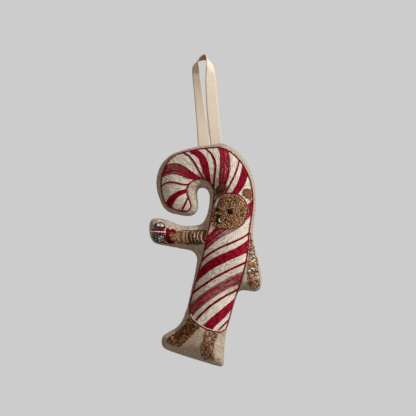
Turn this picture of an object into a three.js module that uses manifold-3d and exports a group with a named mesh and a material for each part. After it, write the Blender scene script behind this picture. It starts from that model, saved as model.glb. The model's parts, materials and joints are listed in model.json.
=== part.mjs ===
// Hanging ornament: a stuffed linen dog in a striped candy-cane suit, with machine embroidery on
// its front and a loop of cotton tape sewn into its top seam.
// Millimetres. +X is to the right, +Y to the back, +Z up, and the embroidered front faces -Y.
// The origin is where a hook touches the underside of the tape, at the top of the loop.
import * as THREE from "three";
import { mergeVertices } from "three/addons/utils/BufferGeometryUtils.js";
import Module from "manifold-3d";

const wasm = await Module();
wasm.setup();

// Stuffed body
const BODY_WIDTH = 90.5;
const BODY_HEIGHT = 179;
const STEM_WIDTH = 36; // width of linen over which the crowns below are reached
const FRONT_CROWN = 11;
const BACK_CROWN = 10.5;
const BACK_FLAT_DEPTH = 1; // how far the back is pressed flat where it lies on a table
const CROWN_POWER = 0.75; // a fuller edge below 1, a sharper ridge above
const LINEN_WALL = 1; // linen with its fused lining
const BACKING_WALL = 0.4;
const FIT_GAP = 0.3; // between pieces that rest on each other

// Seam threads
const SEAM_INSET = 1.4;
const SEAM_THREAD_RADIUS = 0.25;
const CLOSING_THREAD_RADIUS = 0.25;
const CLOSING_PITCH = 3;
const SEAM_THREAD_STEP = 4;

// Tape loop
const TAPE_WIDTH = 9.5;
const TAPE_THICKNESS = 0.7;
const LOOP_HEIGHT = 71;
const LOOP_STATIONS = 44;
const TAIL_LENGTH = 6;
const FOLD_RISE = 0.75; // from the seam up to the line that the tape folds on

// Embroidery
const FILL_THICKNESS = 0.5;
const STITCH_THICKNESS = 0.6;
const FUR_THICKNESS = 0.8;
const HEAD_THICKNESS = 1;
const OUTLINE_WIDTH = 1.2;
const THIN_STRIPE_WIDTH = 1.4;
const MOUTH_WIDTH = 0.8;

// Fineness of the surfaces, and the least a moved or cut piece keeps of what it started with
const RIM_STEP = 5.5;
const RIM_RING_INSET = 2.6;
const CLOTH_STEP = 7;
const CURVE_STEP = 6.5;
const SMALL_CURVE_STEP = 2.5;
const SAME_POINT = 0.0001;
const KEPT_INSET_SHARE = 0.9;
const SLIVER_SHARE = 0.05;
const NUDGE_SHARE = 0.001;

const material = (color, roughness) =>
  new THREE.MeshStandardMaterial({ color, roughness, metalness: 0 });
const linen = material(0xb7a890, 0.9);
const cottonTape = material(0xe3d5bf, 0.85);
const fibreFill = material(0xf4f2ec, 1);
const backingCloth = material(0xe9e7e1, 0.95);
const sewingThread = material(0xc9b99f, 0.7);
const creamThread = material(0xddd3bf, 0.7);
const redThread = material(0x8f0f24, 0.6);
const furThread = material(0x7d5128, 0.75);
const earThread = material(0x553214, 0.75);
const darkThread = material(0x22140f, 0.6);
const greyThread = material(0xb9b6ae, 0.7);

// Outlines are read off a front view, in its pixels, and scaled so that the linen's outline is
// BODY_WIDTH wide and BODY_HEIGHT high.
const linenPixels = [
  [197.6, 146.2], [191, 147.6], [184, 149.4], [177, 151.6], [171, 154.6], [166, 158.5],
  [161.5, 163.6], [158.4, 170], [156.5, 177], [156.1, 184], [157.3, 192], [159.6, 199.5],
  [162.3, 205.5], [165.8, 210], [171, 213], [178, 214.8], [186, 216.2], [192, 215.6],
  [196.3, 212.7], [198.4, 208], [198.2, 201], [197.5, 194], [198.7, 189.3], [202.5, 187.9],
  [206.7, 189.4], [208.9, 193.5], [209.3, 200], [208.2, 208], [206.2, 215.5], [203.4, 221.2],
  [198.5, 224.4], [190, 225.2], [181, 224.6], [173, 221.8], [164, 218.6], [156.5, 217.5],
  [151.6, 218.9], [149.2, 224], [149, 231], [150.7, 238], [154.5, 242.8], [162, 245],
  [172, 246.9], [182, 248.8], [190, 250.4], [195, 253.6], [196.8, 258.5], [195.8, 267],
  [193.6, 278], [191, 289], [188.6, 300], [185.5, 311], [181.5, 320.3], [176, 326.9],
  [169, 331], [163, 335], [161.2, 341], [163.2, 347.2], [170, 350.8], [180, 354.3],
  [192, 358.1], [204, 361.8], [214, 364.8], [221, 366.3], [223.8, 364.4], [224.3, 355],
  [225, 344], [226.4, 333], [229, 322], [232, 311], [234.8, 300], [237.6, 292.7],
  [242.5, 290.3], [249, 290.8], [255, 291.5], [260, 289], [262.1, 283], [261.3, 274],
  [259, 263], [256, 251.5], [253.8, 241], [253.2, 230], [254.4, 219], [255.8, 206],
  [255.6, 193], [253.8, 180], [250, 168.5], [245, 159.6], [239, 152.8], [232, 147.4],
  [223, 142.9], [210.3, 144.55],
];
const canePixels = [
  [190, 151], [198, 149.4], [206, 148.2], [218, 147.4], [224, 148.9], [230, 151.8],
  [236, 156.6], [241.5, 163], [246.5, 171.5], [250.3, 181.5], [252.4, 193], [252.6, 204],
  [251.4, 215], [249.6, 226], [248.5, 236], [248, 245], [247.2, 254], [245.3, 264],
  [242.3, 275], [239, 286], [235.6, 295.5], [232.6, 304.5], [230.4, 313], [227.9, 322],
  [225.4, 328.4], [221, 331], [214, 330.7], [206, 328], [198.5, 323.8], [192.3, 318.5],
  [189.5, 312], [190, 304], [192.3, 294.5], [195.4, 283], [198.7, 271.5], [201.8, 260.5],
  [204.1, 250], [206, 239.5], [208.4, 230], [210.6, 219], [212.6, 208], [214.2, 197.5],
  [214.3, 190.5], [211.7, 184.8], [207.5, 180], [202, 178.1], [195.5, 179.4], [190, 183],
  [186.8, 188.5], [187.4, 194], [189.6, 200], [191.4, 206.2], [188.6, 210.8], [183, 211.3],
  [176, 209.7], [169, 206.8], [164.4, 201.5], [162, 193], [161, 184], [162, 175.5],
  [165.2, 166.5], [170, 159.2], [177, 154.6], [184, 152.4],
];

// Each wide stripe lies between two edges, and each thin one follows a middle line.
const wideStripePixels = [
  [
    [[186.3, 188.8], [180, 190.5], [174, 193], [169, 197.5], [165.5, 203.5]],
    [[187.4, 192.2], [182, 194.2], [177.5, 197.6], [174, 202], [172, 208.3]],
  ],
  [
    [[201, 178], [195, 174.8], [190, 171.4], [184, 166.4], [176, 164], [167, 164.6]],
    [[192.5, 181.4], [188, 177.2], [180, 174.2], [172, 173.4], [162.3, 176.2]],
  ],
  [
    [[205, 178.2], [203, 171], [201, 164.5], [197.6, 157], [190, 150.9]],
    [[210.8, 183], [209.8, 176], [209, 168], [206.4, 158.5], [197, 149.5]],
  ],
  [
    [[217.6, 147.4], [220.2, 153], [220.5, 162], [219.8, 172], [219, 186]],
    [[226.4, 150], [228.8, 156], [229.5, 165], [228.6, 175], [223.5, 188]],
  ],
  [
    [[242.3, 164.4], [240.6, 173], [238, 181], [234.8, 188], [230, 195]],
    [[247.4, 173.4], [246.2, 180], [243.6, 186], [240, 191], [236, 196]],
  ],
  [
    [[252.8, 198.4], [246, 206], [232, 216], [219, 225.4], [209, 235]],
    [[251.8, 213.4], [244, 221.6], [236, 228.6], [221, 236], [205.6, 248.4]],
  ],
  [
    [[248.6, 237.8], [242, 244], [231, 249.8], [218, 255], [208, 261.3], [200.6, 269]],
    [[247.3, 252], [240, 254.7], [229, 259.6], [217, 265.5], [206, 272.6], [198, 280]],
  ],
  [
    [[243.4, 271.6], [234, 274.8], [222, 281.2], [209, 289.3], [198, 298], [189.8, 306]],
    [[240, 281.8], [231, 285], [219, 292], [208, 299.3], [198, 307.6], [190.6, 316.6]],
  ],
  [
    [[233.6, 298.6], [226, 304.6], [217, 311.5], [208.5, 318.8], [201, 325.5]],
    [[230.8, 309.6], [225, 315.3], [218, 321.8], [210.6, 329.8]],
  ],
];
const thinStripePixels = [
  [[188.6, 197.6], [184.6, 204], [182, 211.4]],
  [[188.6, 184.9], [180, 183.8], [172, 181.8], [165.4, 183.2], [161.3, 188.6]],
  [[203.6, 178.6], [199, 171], [195.3, 163.8], [190.4, 157.4], [178.4, 153.6]],
  [[213.6, 188.4], [213.8, 181], [215.4, 172], [214.9, 161], [205.6, 148.2]],
  [[239, 159.2], [237.4, 167], [234.4, 175.3], [230.6, 183], [226, 191.4]],
  [[249.4, 231.6], [243, 236.8], [232, 242.1], [219, 247.3], [202.6, 258.6]],
  [[246, 261.6], [236, 265.7], [222, 272.9], [208, 281], [194.3, 291.6]],
  [[237.4, 288.6], [225, 295], [211, 304.2], [194.3, 320.8]],
  [[229.2, 316.4], [224, 324], [217, 330]],
];

// Dog
const headPixels = [
  [216.2, 205], [216.8, 201.3], [219.5, 197.8], [223.5, 195.5], [229, 194.4], [235, 195],
  [240, 197.8], [243.5, 202], [245, 207], [245, 213], [243.2, 219], [239.6, 223.8],
  [234.5, 226.8], [228, 228], [221, 227.4], [215.2, 226], [212, 223], [212.2, 216],
  [214, 209.5],
];
const hoodPixels = [
  [215.4, 200.4], [216.7, 197.4], [221, 194.8], [226, 193.4], [231, 192.9], [237, 194.2],
  [242.3, 197.9], [245.4, 202.5], [246.8, 208.5], [246.3, 215], [243.9, 221.4], [240.4, 225.4],
  [236, 228.4],
];
const leftEarPixels = [
  [217, 186.8], [219.6, 183.6], [223.4, 183.2], [226.4, 185.4], [226.9, 188.6], [224.2, 191.7],
  [219.5, 193.6], [216.6, 193.4], [216, 190],
];
const rightEarPixels = [
  [241.4, 192.8], [242.6, 189.6], [246, 187.9], [249.4, 188.3], [250.8, 191], [250.6, 196.2],
  [249, 199.8], [245.6, 198.2], [242.6, 195.8],
];
const leftEyePixels = [[215.6, 208], [217.6, 208.2], [218.4, 210], [217, 211.2], [215.4, 210.4]];
const rightEyePixels = [
  [227.6, 209.8], [231.4, 209.9], [231.8, 212.6], [230, 213.9], [227.6, 213.2],
];
const nosePixels = [[216, 213.6], [219.4, 213.6], [220, 215.4], [218.2, 217], [216.2, 216]];
const mouthPixels = [[217.8, 218.2], [217.8, 220], [219, 221.4], [221, 221.9]];
const frontArmPixels = [
  [177.4, 231.3], [183, 229.6], [192, 230], [200, 229.4], [207.6, 229], [206, 236],
  [203.8, 243.4], [197, 244.4], [189, 243.8], [181, 243.4], [177.4, 242.4],
];
const rearArmPixels = [
  [250.4, 232], [251.4, 240], [253.2, 248], [255.4, 257], [257.6, 266], [259.2, 275],
  [259.4, 283], [256.6, 287.6], [251.4, 287.8], [248.6, 284], [247.6, 277], [246.8, 270],
  [247.3, 262], [249, 252], [249.6, 242],
];
const leftLegPixels = [
  [188.2, 316.8], [185.4, 323], [180.6, 328.4], [174, 333.4], [167.2, 337.6], [166.8, 341.4],
  [173, 344.2], [181, 345], [186, 340.4], [191.4, 334.2], [196.5, 328.8], [201, 325],
];
const rightLegPixels = [
  [205.2, 327], [204.6, 334], [202.4, 341], [200.2, 348], [201.4, 354.6], [206.6, 358.6],
  [212.6, 358.9], [214.3, 355], [213, 349.6], [214.2, 343], [216.6, 337], [219.3, 330],
];

// Parcel held in the front paw
const parcelTopPixels = [
  [154.4, 226.6], [156.2, 223.4], [160.4, 222.2], [164.2, 223.8], [165, 227.6], [159.6, 227.4],
];
const parcelBandPixels = [[151.6, 229.2], [158, 228.5], [165, 228.7], [165, 233.3], [158, 232.9], [152, 231.9]];
const parcelBasePixels = [
  [152.6, 233.4], [158.6, 234.2], [165, 234.6], [165, 240.6], [160.8, 241.7], [156, 240.4],
  [153.4, 237],
];
const bowPixels = [
  [166.2, 229.6], [167.6, 227.8], [169.6, 229.8], [173.4, 228.6], [176.2, 230.6], [175.6, 233.4],
  [171.6, 232], [170.2, 234.4], [170.6, 238.6], [174.8, 240.8], [174.2, 243.3], [169.6, 242.9],
  [166.6, 241], [166.2, 235],
];

// Where the tape is sewn in, and where the turning gap is closed by hand
const tapeSeatPixels = [[198.3, 146.1], [222.3, 143]];
const closingPixels = [[178, 353.6], [204, 361.8]];

// The tape's two edges from its right foot over the top to its left foot: across the seat in
// tape widths, and up from it in loop heights.
const tapeFrontEdgeShares = [
  [0.02, 0], [0.02, 0.05], [0.03, 0.16], [0.05, 0.28], [0.08, 0.4], [0.13, 0.5], [0.2, 0.61],
  [0.29, 0.72], [0.41, 0.815], [0.52, 0.885], [0.6, 0.945], [0.54, 1], [0.26, 0.995],
  [0.02, 0.972], [-0.12, 0.93], [-0.13, 0.875], [-0.11, 0.8], [-0.08, 0.7], [-0.08, 0.59],
  [-0.07, 0.49], [-0.06, 0.39], [-0.03, 0.28], [-0.02, 0.16], [-0.02, 0.05], [-0.02, 0],
];
const tapeBackEdgeShares = [
  [1.02, 0], [1.02, 0.05], [1.03, 0.15], [1.05, 0.27], [1.07, 0.39], [1.1, 0.49], [1.14, 0.6],
  [1.18, 0.7], [1.17, 0.79], [1.09, 0.865], [0.9, 0.918], [0.55, 0.944], [0.2, 0.947],
  [-0.1, 0.942], [-0.36, 0.928], [-0.62, 0.89], [-0.74, 0.82], [-0.77, 0.71], [-0.8, 0.6],
  [-0.84, 0.49], [-0.87, 0.39], [-0.9, 0.28], [-0.96, 0.165], [-1.02, 0.055], [-1.02, 0],
];

// Pixels to millimetres, with the hook point at the origin
const spanOf = (points, axis) => {
  const values = points.map((point) => point[axis]);
  return { low: Math.min(...values), high: Math.max(...values) };
};
const spanX = spanOf(linenPixels, 0);
const spanZ = spanOf(linenPixels, 1);
const scaleX = BODY_WIDTH / (spanX.high - spanX.low);
const scaleZ = BODY_HEIGHT / (spanZ.high - spanZ.low);
const scaled = ([px, py]) => new THREE.Vector2(px * scaleX, -py * scaleZ);

// Loop frame: its middle is the hinge line just above the seam, across the tape's two feet.
const seamHalfGap = FIT_GAP / 2;
const [seatLeft, seatRight] = tapeSeatPixels.map(scaled);
const seatAlong = seatRight.clone().sub(seatLeft).normalize();
const seatOut = new THREE.Vector2(-seatAlong.y, seatAlong.x);
const seatMiddle = seatLeft.clone().add(seatRight).multiplyScalar(0.5);
const hingeMiddle = seatMiddle.clone().addScaledVector(seatOut, FOLD_RISE);
const inLoop = (across, up) =>
  hingeMiddle.clone().addScaledVector(seatAlong, across).addScaledVector(seatOut, up);

const topIndex = tapeFrontEdgeShares.findIndex(([, up]) => up === 1);
const topShares = [0, 1].map(
  (axis) => (tapeFrontEdgeShares[topIndex][axis] + tapeBackEdgeShares[topIndex][axis]) / 2,
);
const hookPoint = inLoop(
  topShares[0] * TAPE_WIDTH,
  topShares[1] * LOOP_HEIGHT - TAPE_THICKNESS / 2,
);
const placed = (pixel) => scaled(pixel).sub(hookPoint);

// Points on a smooth curve through the given ones, no further apart than step.
function smooth(points, step, closed) {
  const at = points.map((point) => new THREE.Vector3(point.x, point.y, 0));
  const curve = new THREE.CatmullRomCurve3(at, closed, "centripetal");
  const spans = closed ? at.length : at.length - 1;
  const found = [];
  for (let span = 0; span < spans; span++) {
    const reach = at[span].distanceTo(at[(span + 1) % at.length]);
    const pieces = Math.max(1, Math.round(reach / step));
    for (let piece = 0; piece < pieces; piece++) {
      found.push(curve.getPoint((span + piece / pieces) / spans));
    }
  }
  if (!closed) found.push(curve.getPoint(1));
  return found.map((point) => new THREE.Vector2(point.x, point.y));
}
const smoothLoop = (pixels, step) => smooth(pixels.map(placed), step, true);
const smoothLine = (pixels, step) => smooth(pixels.map(placed), step, false);

// A loop or line of points moved sideways: outwards on a loop that runs counter-clockwise.
function moved(points, distance, closed) {
  const last = points.length - 1;
  return points.map((point, i) => {
    const before = points[closed ? (i + last) % points.length : Math.max(0, i - 1)];
    const after = points[closed ? (i + 1) % points.length : Math.min(last, i + 1)];
    const along = after.clone().sub(before).normalize();
    return point.clone().add(new THREE.Vector2(along.y, -along.x).multiplyScalar(distance));
  });
}
const counterClockwise = (points) =>
  THREE.ShapeUtils.area(points) > 0 ? points : points.slice().reverse();

// A line that runs on past both of its ends.
function runOn(points, reach) {
  const [first, second] = points;
  const [beforeLast, last] = points.slice(-2);
  const start = first.clone().addScaledVector(first.clone().sub(second).normalize(), reach);
  const end = last.clone().addScaledVector(last.clone().sub(beforeLast).normalize(), reach);
  return [start, ...points, end];
}
const stroke = (line, width) => [
  ...moved(line, width / 2, false),
  ...moved(line, -width / 2, false).reverse(),
];

const linenOutline = counterClockwise(smoothLoop(linenPixels, RIM_STEP));
const caneOutline = counterClockwise(smoothLoop(canePixels, CURVE_STEP));

// Distance from the edge of the linen, softened so that it has no ridge along the middle: the
// inverse cubes of the distances to all of the outline are summed in closed form.
function softDistance(at) {
  let total = 0;
  linenOutline.forEach((from, i) => {
    const to = linenOutline[(i + 1) % linenOutline.length];
    const along = to.clone().sub(from).normalize();
    const start = from.clone().sub(at);
    const startAlong = start.dot(along);
    const endAlong = to.clone().sub(at).dot(along);
    const aside = Math.max(start.lengthSq() - startAlong ** 2, Number.EPSILON ** 0.5);
    total += endAlong / Math.sqrt(endAlong ** 2 + aside) / aside;
    total -= startAlong / Math.sqrt(startAlong ** 2 + aside) / aside;
  });
  return Math.sqrt(2 / total);
}
const stemSoftDistance = STEM_WIDTH / 2 / Math.SQRT2;
const crownShare = (at) => (softDistance(at) / stemSoftDistance) ** CROWN_POWER;

const inside = (at, loop) => {
  let crossings = 0;
  loop.forEach((from, i) => {
    const to = loop[(i + 1) % loop.length];
    if (from.y > at.y === to.y > at.y) return;
    if (at.x < from.x + ((at.y - from.y) / (to.y - from.y)) * (to.x - from.x)) crossings++;
  });
  return crossings % 2 === 1;
};
const distanceTo = (at, loop) =>
  Math.min(
    ...loop.map((from, i) => {
      const step = loop[(i + 1) % loop.length].clone().sub(from);
      const share = THREE.MathUtils.clamp(at.clone().sub(from).dot(step) / step.lengthSq(), 0, 1);
      return from.clone().addScaledVector(step, share).distanceTo(at);
    }),
  );

const FAR_CORNER_REACHES = 20; // how far off the first triangle's corners are

// Delaunay triangles of points, added one at a time. Each point is nudged a little while it is
// tested, so that no four lie on one circle.
function delaunay(points, nudge) {
  const tested = points.map((point, i) => {
    const aside = new THREE.Vector2(Math.sin(i), Math.cos(i * i)).multiplyScalar(nudge);
    return aside.add(point);
  });
  const centre = tested.reduce((sum, point) => sum.add(point), new THREE.Vector2());
  centre.divideScalar(tested.length);
  const reach = Math.max(...tested.map((point) => point.distanceTo(centre)));
  const count = tested.length;
  for (const turn of [0, 1, 2]) {
    const corner = new THREE.Vector2(FAR_CORNER_REACHES * reach, 0);
    corner.rotateAround(new THREE.Vector2(), (turn * 2 * Math.PI) / 3);
    tested.push(corner.add(centre));
  }
  const circleOf = (corners) => {
    const [a, b, c] = corners.map((corner) => tested[corner]);
    const ab = b.clone().sub(a);
    const ac = c.clone().sub(a);
    const twiceArea = 2 * ab.cross(ac);
    const x = (ac.y * ab.lengthSq() - ab.y * ac.lengthSq()) / twiceArea;
    const y = (ab.x * ac.lengthSq() - ac.x * ab.lengthSq()) / twiceArea;
    return { corners, middle: new THREE.Vector2(a.x + x, a.y + y), radiusSquared: x * x + y * y };
  };
  let triangles = [circleOf([count, count + 1, count + 2])];
  for (let added = 0; added < count; added++) {
    const open = new Map();
    triangles = triangles.filter((triangle) => {
      if (triangle.middle.distanceToSquared(tested[added]) >= triangle.radiusSquared) return true;
      triangle.corners.forEach((from, k) => {
        const to = triangle.corners[(k + 1) % 3];
        if (!open.delete(to + " " + from)) open.set(from + " " + to, [from, to]);
      });
      return false;
    });
    for (const [from, to] of open.values()) triangles.push(circleOf([from, to, added]));
  }
  return triangles.map(({ corners }) => corners).filter((corners) => Math.max(...corners) < count);
}

// The cloth's net: its rim, a ring just inside the rim, and a grid of even triangles.
function clothNet() {
  const ring = moved(linenOutline, -RIM_RING_INSET, true).filter(
    (at) => distanceTo(at, linenOutline) > KEPT_INSET_SHARE * RIM_RING_INSET,
  );
  const grid = [];
  const low = new THREE.Vector2(Infinity, Infinity);
  const high = new THREE.Vector2(-Infinity, -Infinity);
  linenOutline.forEach((point) => {
    low.min(point);
    high.max(point);
  });
  const rowStep = (CLOTH_STEP * Math.sqrt(3)) / 2;
  for (let row = 0; low.y + row * rowStep < high.y; row++) {
    const shift = row % 2 ? CLOTH_STEP / 2 : 0;
    for (let x = low.x + shift; x < high.x; x += CLOTH_STEP) {
      const at = new THREE.Vector2(x, low.y + row * rowStep);
      const fromEdge = inside(at, linenOutline) ? distanceTo(at, linenOutline) : 0;
      if (fromEdge > RIM_RING_INSET + CLOTH_STEP / 2) grid.push(at);
    }
  }
  const points = [...linenOutline, ...ring, ...grid];
  const isRim = (corner) => corner < linenOutline.length;
  const triangles = delaunay(points, NUDGE_SHARE * RIM_RING_INSET).filter((corners) => {
    const middle = new THREE.Vector2();
    corners.forEach((corner) => middle.addScaledVector(points[corner], 1 / 3));
    return inside(middle, linenOutline);
  });
  const crown = points.map((point, corner) => (isRim(corner) ? 0 : crownShare(point)));
  const innerTriangles = triangles.filter((corners) => !corners.some(isRim));
  return { points, crown, triangles, innerTriangles };
}
const net = clothNet();

// A closed solid between two heights over the net. Heights are given by corner, as the Y of the
// surface nearer the front and of the one behind it.
function between(triangles, frontY, rearY) {
  const positions = [];
  const corner = (index, heightOf) => {
    const { x, y } = net.points[index];
    positions.push(x, heightOf(net.crown[index]), y);
  };
  const edges = new Map();
  for (const [a, b, c] of triangles) {
    for (const index of [a, b, c]) corner(index, frontY);
    for (const index of [c, b, a]) corner(index, rearY);
    for (const [from, to] of [[a, b], [b, c], [c, a]]) {
      if (!edges.delete(to + " " + from)) edges.set(from + " " + to, [from, to]);
    }
  }
  for (const [from, to] of edges.values()) {
    corner(to, frontY);
    corner(from, frontY);
    corner(from, rearY);
    corner(to, frontY);
    corner(from, rearY);
    corner(to, rearY);
  }
  const geometry = new THREE.BufferGeometry();
  return geometry.setAttribute("position", new THREE.Float32BufferAttribute(positions, 3));
}

// manifold-3d joins and cuts closed geometries.
function solidOf(geometry) {
  const bare = geometry.clone();
  bare.deleteAttribute("normal");
  bare.deleteAttribute("uv");
  const merged = mergeVertices(bare, SAME_POINT);
  return new wasm.Manifold(
    new wasm.Mesh({
      numProp: 3,
      vertProperties: merged.attributes.position.array,
      triVerts: new Uint32Array(merged.index.array),
    }),
  );
}
function geometryOf(solid) {
  const mesh = solid.getMesh();
  const geometry = new THREE.BufferGeometry();
  const corners = new Float32Array(mesh.numVert * 3);
  for (let i = 0; i < mesh.numVert; i++) {
    const start = i * mesh.numProp;
    corners.set(mesh.vertProperties.subarray(start, start + 3), i * 3);
  }
  geometry.setAttribute("position", new THREE.BufferAttribute(corners, 3));
  geometry.setIndex(new THREE.BufferAttribute(new Uint32Array(mesh.triVerts), 1));
  return geometry;
}
// A flat shape carried from the seam plane past the front of the body.
const punchDepth = 2 * (FRONT_CROWN + LINEN_WALL);
function punch(points) {
  const shape = new THREE.Shape(counterClockwise(points));
  const geometry = new THREE.ExtrudeGeometry(shape, { depth: punchDepth, bevelEnabled: false });
  return solidOf(geometry.rotateX(Math.PI / 2));
}

// Heights over the net, as distances from the seam plane
const linenBase = seamHalfGap + LINEN_WALL;
const frontAt = (base) => (crown) => -(base + FRONT_CROWN * crown);
const backAt = (base) => (crown) =>
  base + Math.min(BACK_CROWN * crown, BACK_CROWN - BACK_FLAT_DEPTH);
const onLinen = (low, high) =>
  solidOf(between(net.triangles, frontAt(linenBase + high), frontAt(linenBase + low)));

const root = new THREE.Group();
root.name = "embroidered_dog_ornament";
function add(name, geometry, finish) {
  const mesh = new THREE.Mesh(geometry, finish);
  mesh.name = name;
  root.add(mesh);
}

// Embroidery levels above the linen
const fillTop = FIT_GAP + FILL_THICKNESS;
const stripeLow = fillTop + FIT_GAP;
const stripeTop = stripeLow + STITCH_THICKNESS;
const headTop = stripeLow + HEAD_THICKNESS;
const faceLow = headTop + FIT_GAP;
const faceTop = faceLow + STITCH_THICKNESS;

function addLinen() {
  const tapeSlot = new THREE.BoxGeometry(
    2 * TAPE_WIDTH + 4 * FIT_GAP,
    TAPE_THICKNESS + 2 * FIT_GAP,
    2 * (TAIL_LENGTH + FIT_GAP),
  );
  const turn = Math.atan2(seatAlong.y, seatAlong.x);
  tapeSlot.rotateY(-turn);
  const seat = seatMiddle.clone().sub(hookPoint);
  tapeSlot.translate(seat.x, 0, seat.y);
  const slot = solidOf(tapeSlot);
  const front = solidOf(between(net.triangles, frontAt(linenBase), frontAt(seamHalfGap)));
  const back = solidOf(between(net.triangles, backAt(seamHalfGap), backAt(linenBase)));
  add("front_panel", geometryOf(front.subtract(slot)), linen);
  add("back_panel", geometryOf(back.subtract(slot)), linen);

  const backingTop = seamHalfGap - FIT_GAP;
  const backingLow = backingTop - BACKING_WALL;
  const fillLow = backingLow - FIT_GAP;
  const backing = between(net.innerTriangles, frontAt(backingTop), frontAt(backingLow));
  add("embroidery_backing", backing, backingCloth);
  const fill = solidOf(between(net.innerTriangles, frontAt(fillLow), backAt(backingTop)));
  add("stuffing", geometryOf(fill.subtract(slot)), fibreFill);
}

// A thread or cord of round section along points in space.
function thread(points, radius, sides, steps) {
  const path = new THREE.CatmullRomCurve3(points, false, "centripetal");
  const section = new THREE.Shape();
  section.absarc(0, 0, radius, 0, 2 * Math.PI);
  return new THREE.ExtrudeGeometry(section, {
    steps,
    curveSegments: sides / 2,
    bevelEnabled: false,
    extrudePath: path,
  });
}

function addSeamThreads() {
  const [from, to] = closingPixels.map(placed);
  const nearest = (at) => {
    const reaches = linenOutline.map((point) => point.distanceTo(at));
    return reaches.indexOf(Math.min(...reaches));
  };
  const start = nearest(from);
  const end = nearest(to);
  const count = linenOutline.length;
  const seamY = -(TAPE_THICKNESS / 2 + FIT_GAP + SEAM_THREAD_RADIUS);
  const seamLoop = moved(linenOutline, -SEAM_INSET, true);
  const seam = [];
  for (let i = end + 1; i % count !== start; i++) {
    const at = seamLoop[i % count];
    const clear = distanceTo(at, linenOutline) > KEPT_INSET_SHARE * SEAM_INSET;
    if (clear) seam.push(new THREE.Vector3(at.x, seamY, at.y));
  }
  const seamLength = new THREE.CatmullRomCurve3(seam).getLength();
  const seamSteps = Math.round(seamLength / SEAM_THREAD_STEP);
  add("seam_thread", thread(seam, SEAM_THREAD_RADIUS, 4, seamSteps), sewingThread);

  const outwards = FIT_GAP + CLOSING_THREAD_RADIUS;
  const along = to.clone().sub(from).normalize();
  const out = new THREE.Vector2(along.y, -along.x).multiplyScalar(outwards);
  const stitches = Math.round(from.distanceTo(to) / CLOSING_PITCH);
  const rim = linenOutline.slice(start, end + 1);
  const turns = [];
  for (let i = 0; i <= 2 * stitches; i++) {
    const at = alongLine(rim, i / (2 * stitches)).add(out);
    turns.push(new THREE.Vector3(at.x, (i % 2 ? 1 : -1) * linenBase, at.y));
  }
  const closing = thread(turns, CLOSING_THREAD_RADIUS, 4, 3 * turns.length);
  add("closing_thread", closing, sewingThread);
}
function alongLine(points, share) {
  const reach = share * (points.length - 1);
  const index = Math.min(Math.floor(reach), points.length - 2);
  return points[index].clone().lerp(points[index + 1], reach - index);
}

// The tape: its two edges are curves in space, as far apart as the tape is wide, and its
// thickness is set off on both sides of the surface between them.
function tapeEdges() {
  const front = [];
  const back = [];
  tapeFrontEdgeShares.forEach((frontShare, i) => {
    const [a, b] = [frontShare, tapeBackEdgeShares[i]].map(([across, up]) =>
      inLoop(across * TAPE_WIDTH, up * LOOP_HEIGHT).sub(hookPoint),
    );
    const turnedAway = Math.sqrt(Math.max(0, TAPE_WIDTH ** 2 - a.distanceToSquared(b))) / 2;
    front.push(new THREE.Vector3(a.x, -turnedAway, a.y));
    back.push(new THREE.Vector3(b.x, turnedAway, b.y));
  });
  return [front, back].map((edge) => new THREE.CatmullRomCurve3(edge, false, "centripetal"));
}
function addTape() {
  const [front, back] = tapeEdges();
  const rings = [];
  for (let i = 0; i <= LOOP_STATIONS; i++) {
    const share = i / LOOP_STATIONS;
    const a = front.getPoint(share);
    const b = back.getPoint(share);
    const along = front.getTangent(share).add(back.getTangent(share));
    const out = along.cross(b.clone().sub(a)).setLength(TAPE_THICKNESS / 2);
    rings.push([a.clone().add(out), b.clone().add(out), b.clone().sub(out), a.clone().sub(out)]);
  }
  const positions = [];
  const face = (...corners) => corners.forEach((corner) => positions.push(...corner.toArray()));
  rings.slice(1).forEach((ring, i) => {
    const before = rings[i];
    ring.forEach((corner, k) => {
      const next = (k + 1) % ring.length;
      face(before[next], before[k], ring[next]);
      face(ring[next], before[k], corner);
    });
  });
  const first = rings[0];
  const last = rings[rings.length - 1];
  face(first[0], first[1], first[2]);
  face(first[0], first[2], first[3]);
  face(last[2], last[1], last[0]);
  face(last[3], last[2], last[0]);
  const geometry = new THREE.BufferGeometry();
  geometry.setAttribute("position", new THREE.Float32BufferAttribute(positions, 3));
  add("hanging_loop", geometry, cottonTape);

  const tail = new THREE.BoxGeometry(TAPE_WIDTH, TAPE_THICKNESS, TAIL_LENGTH);
  const turn = Math.atan2(seatAlong.y, seatAlong.x);
  for (const [name, side] of [["loop_end_left", -1], ["loop_end_right", 1]]) {
    const across = (side * (TAPE_WIDTH + FIT_GAP)) / 2;
    const middle = inLoop(across, -FOLD_RISE - TAIL_LENGTH / 2).sub(hookPoint);
    const box = tail.clone().rotateY(-turn).translate(middle.x, 0, middle.y);
    add(name, box, cottonTape);
  }
}

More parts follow.
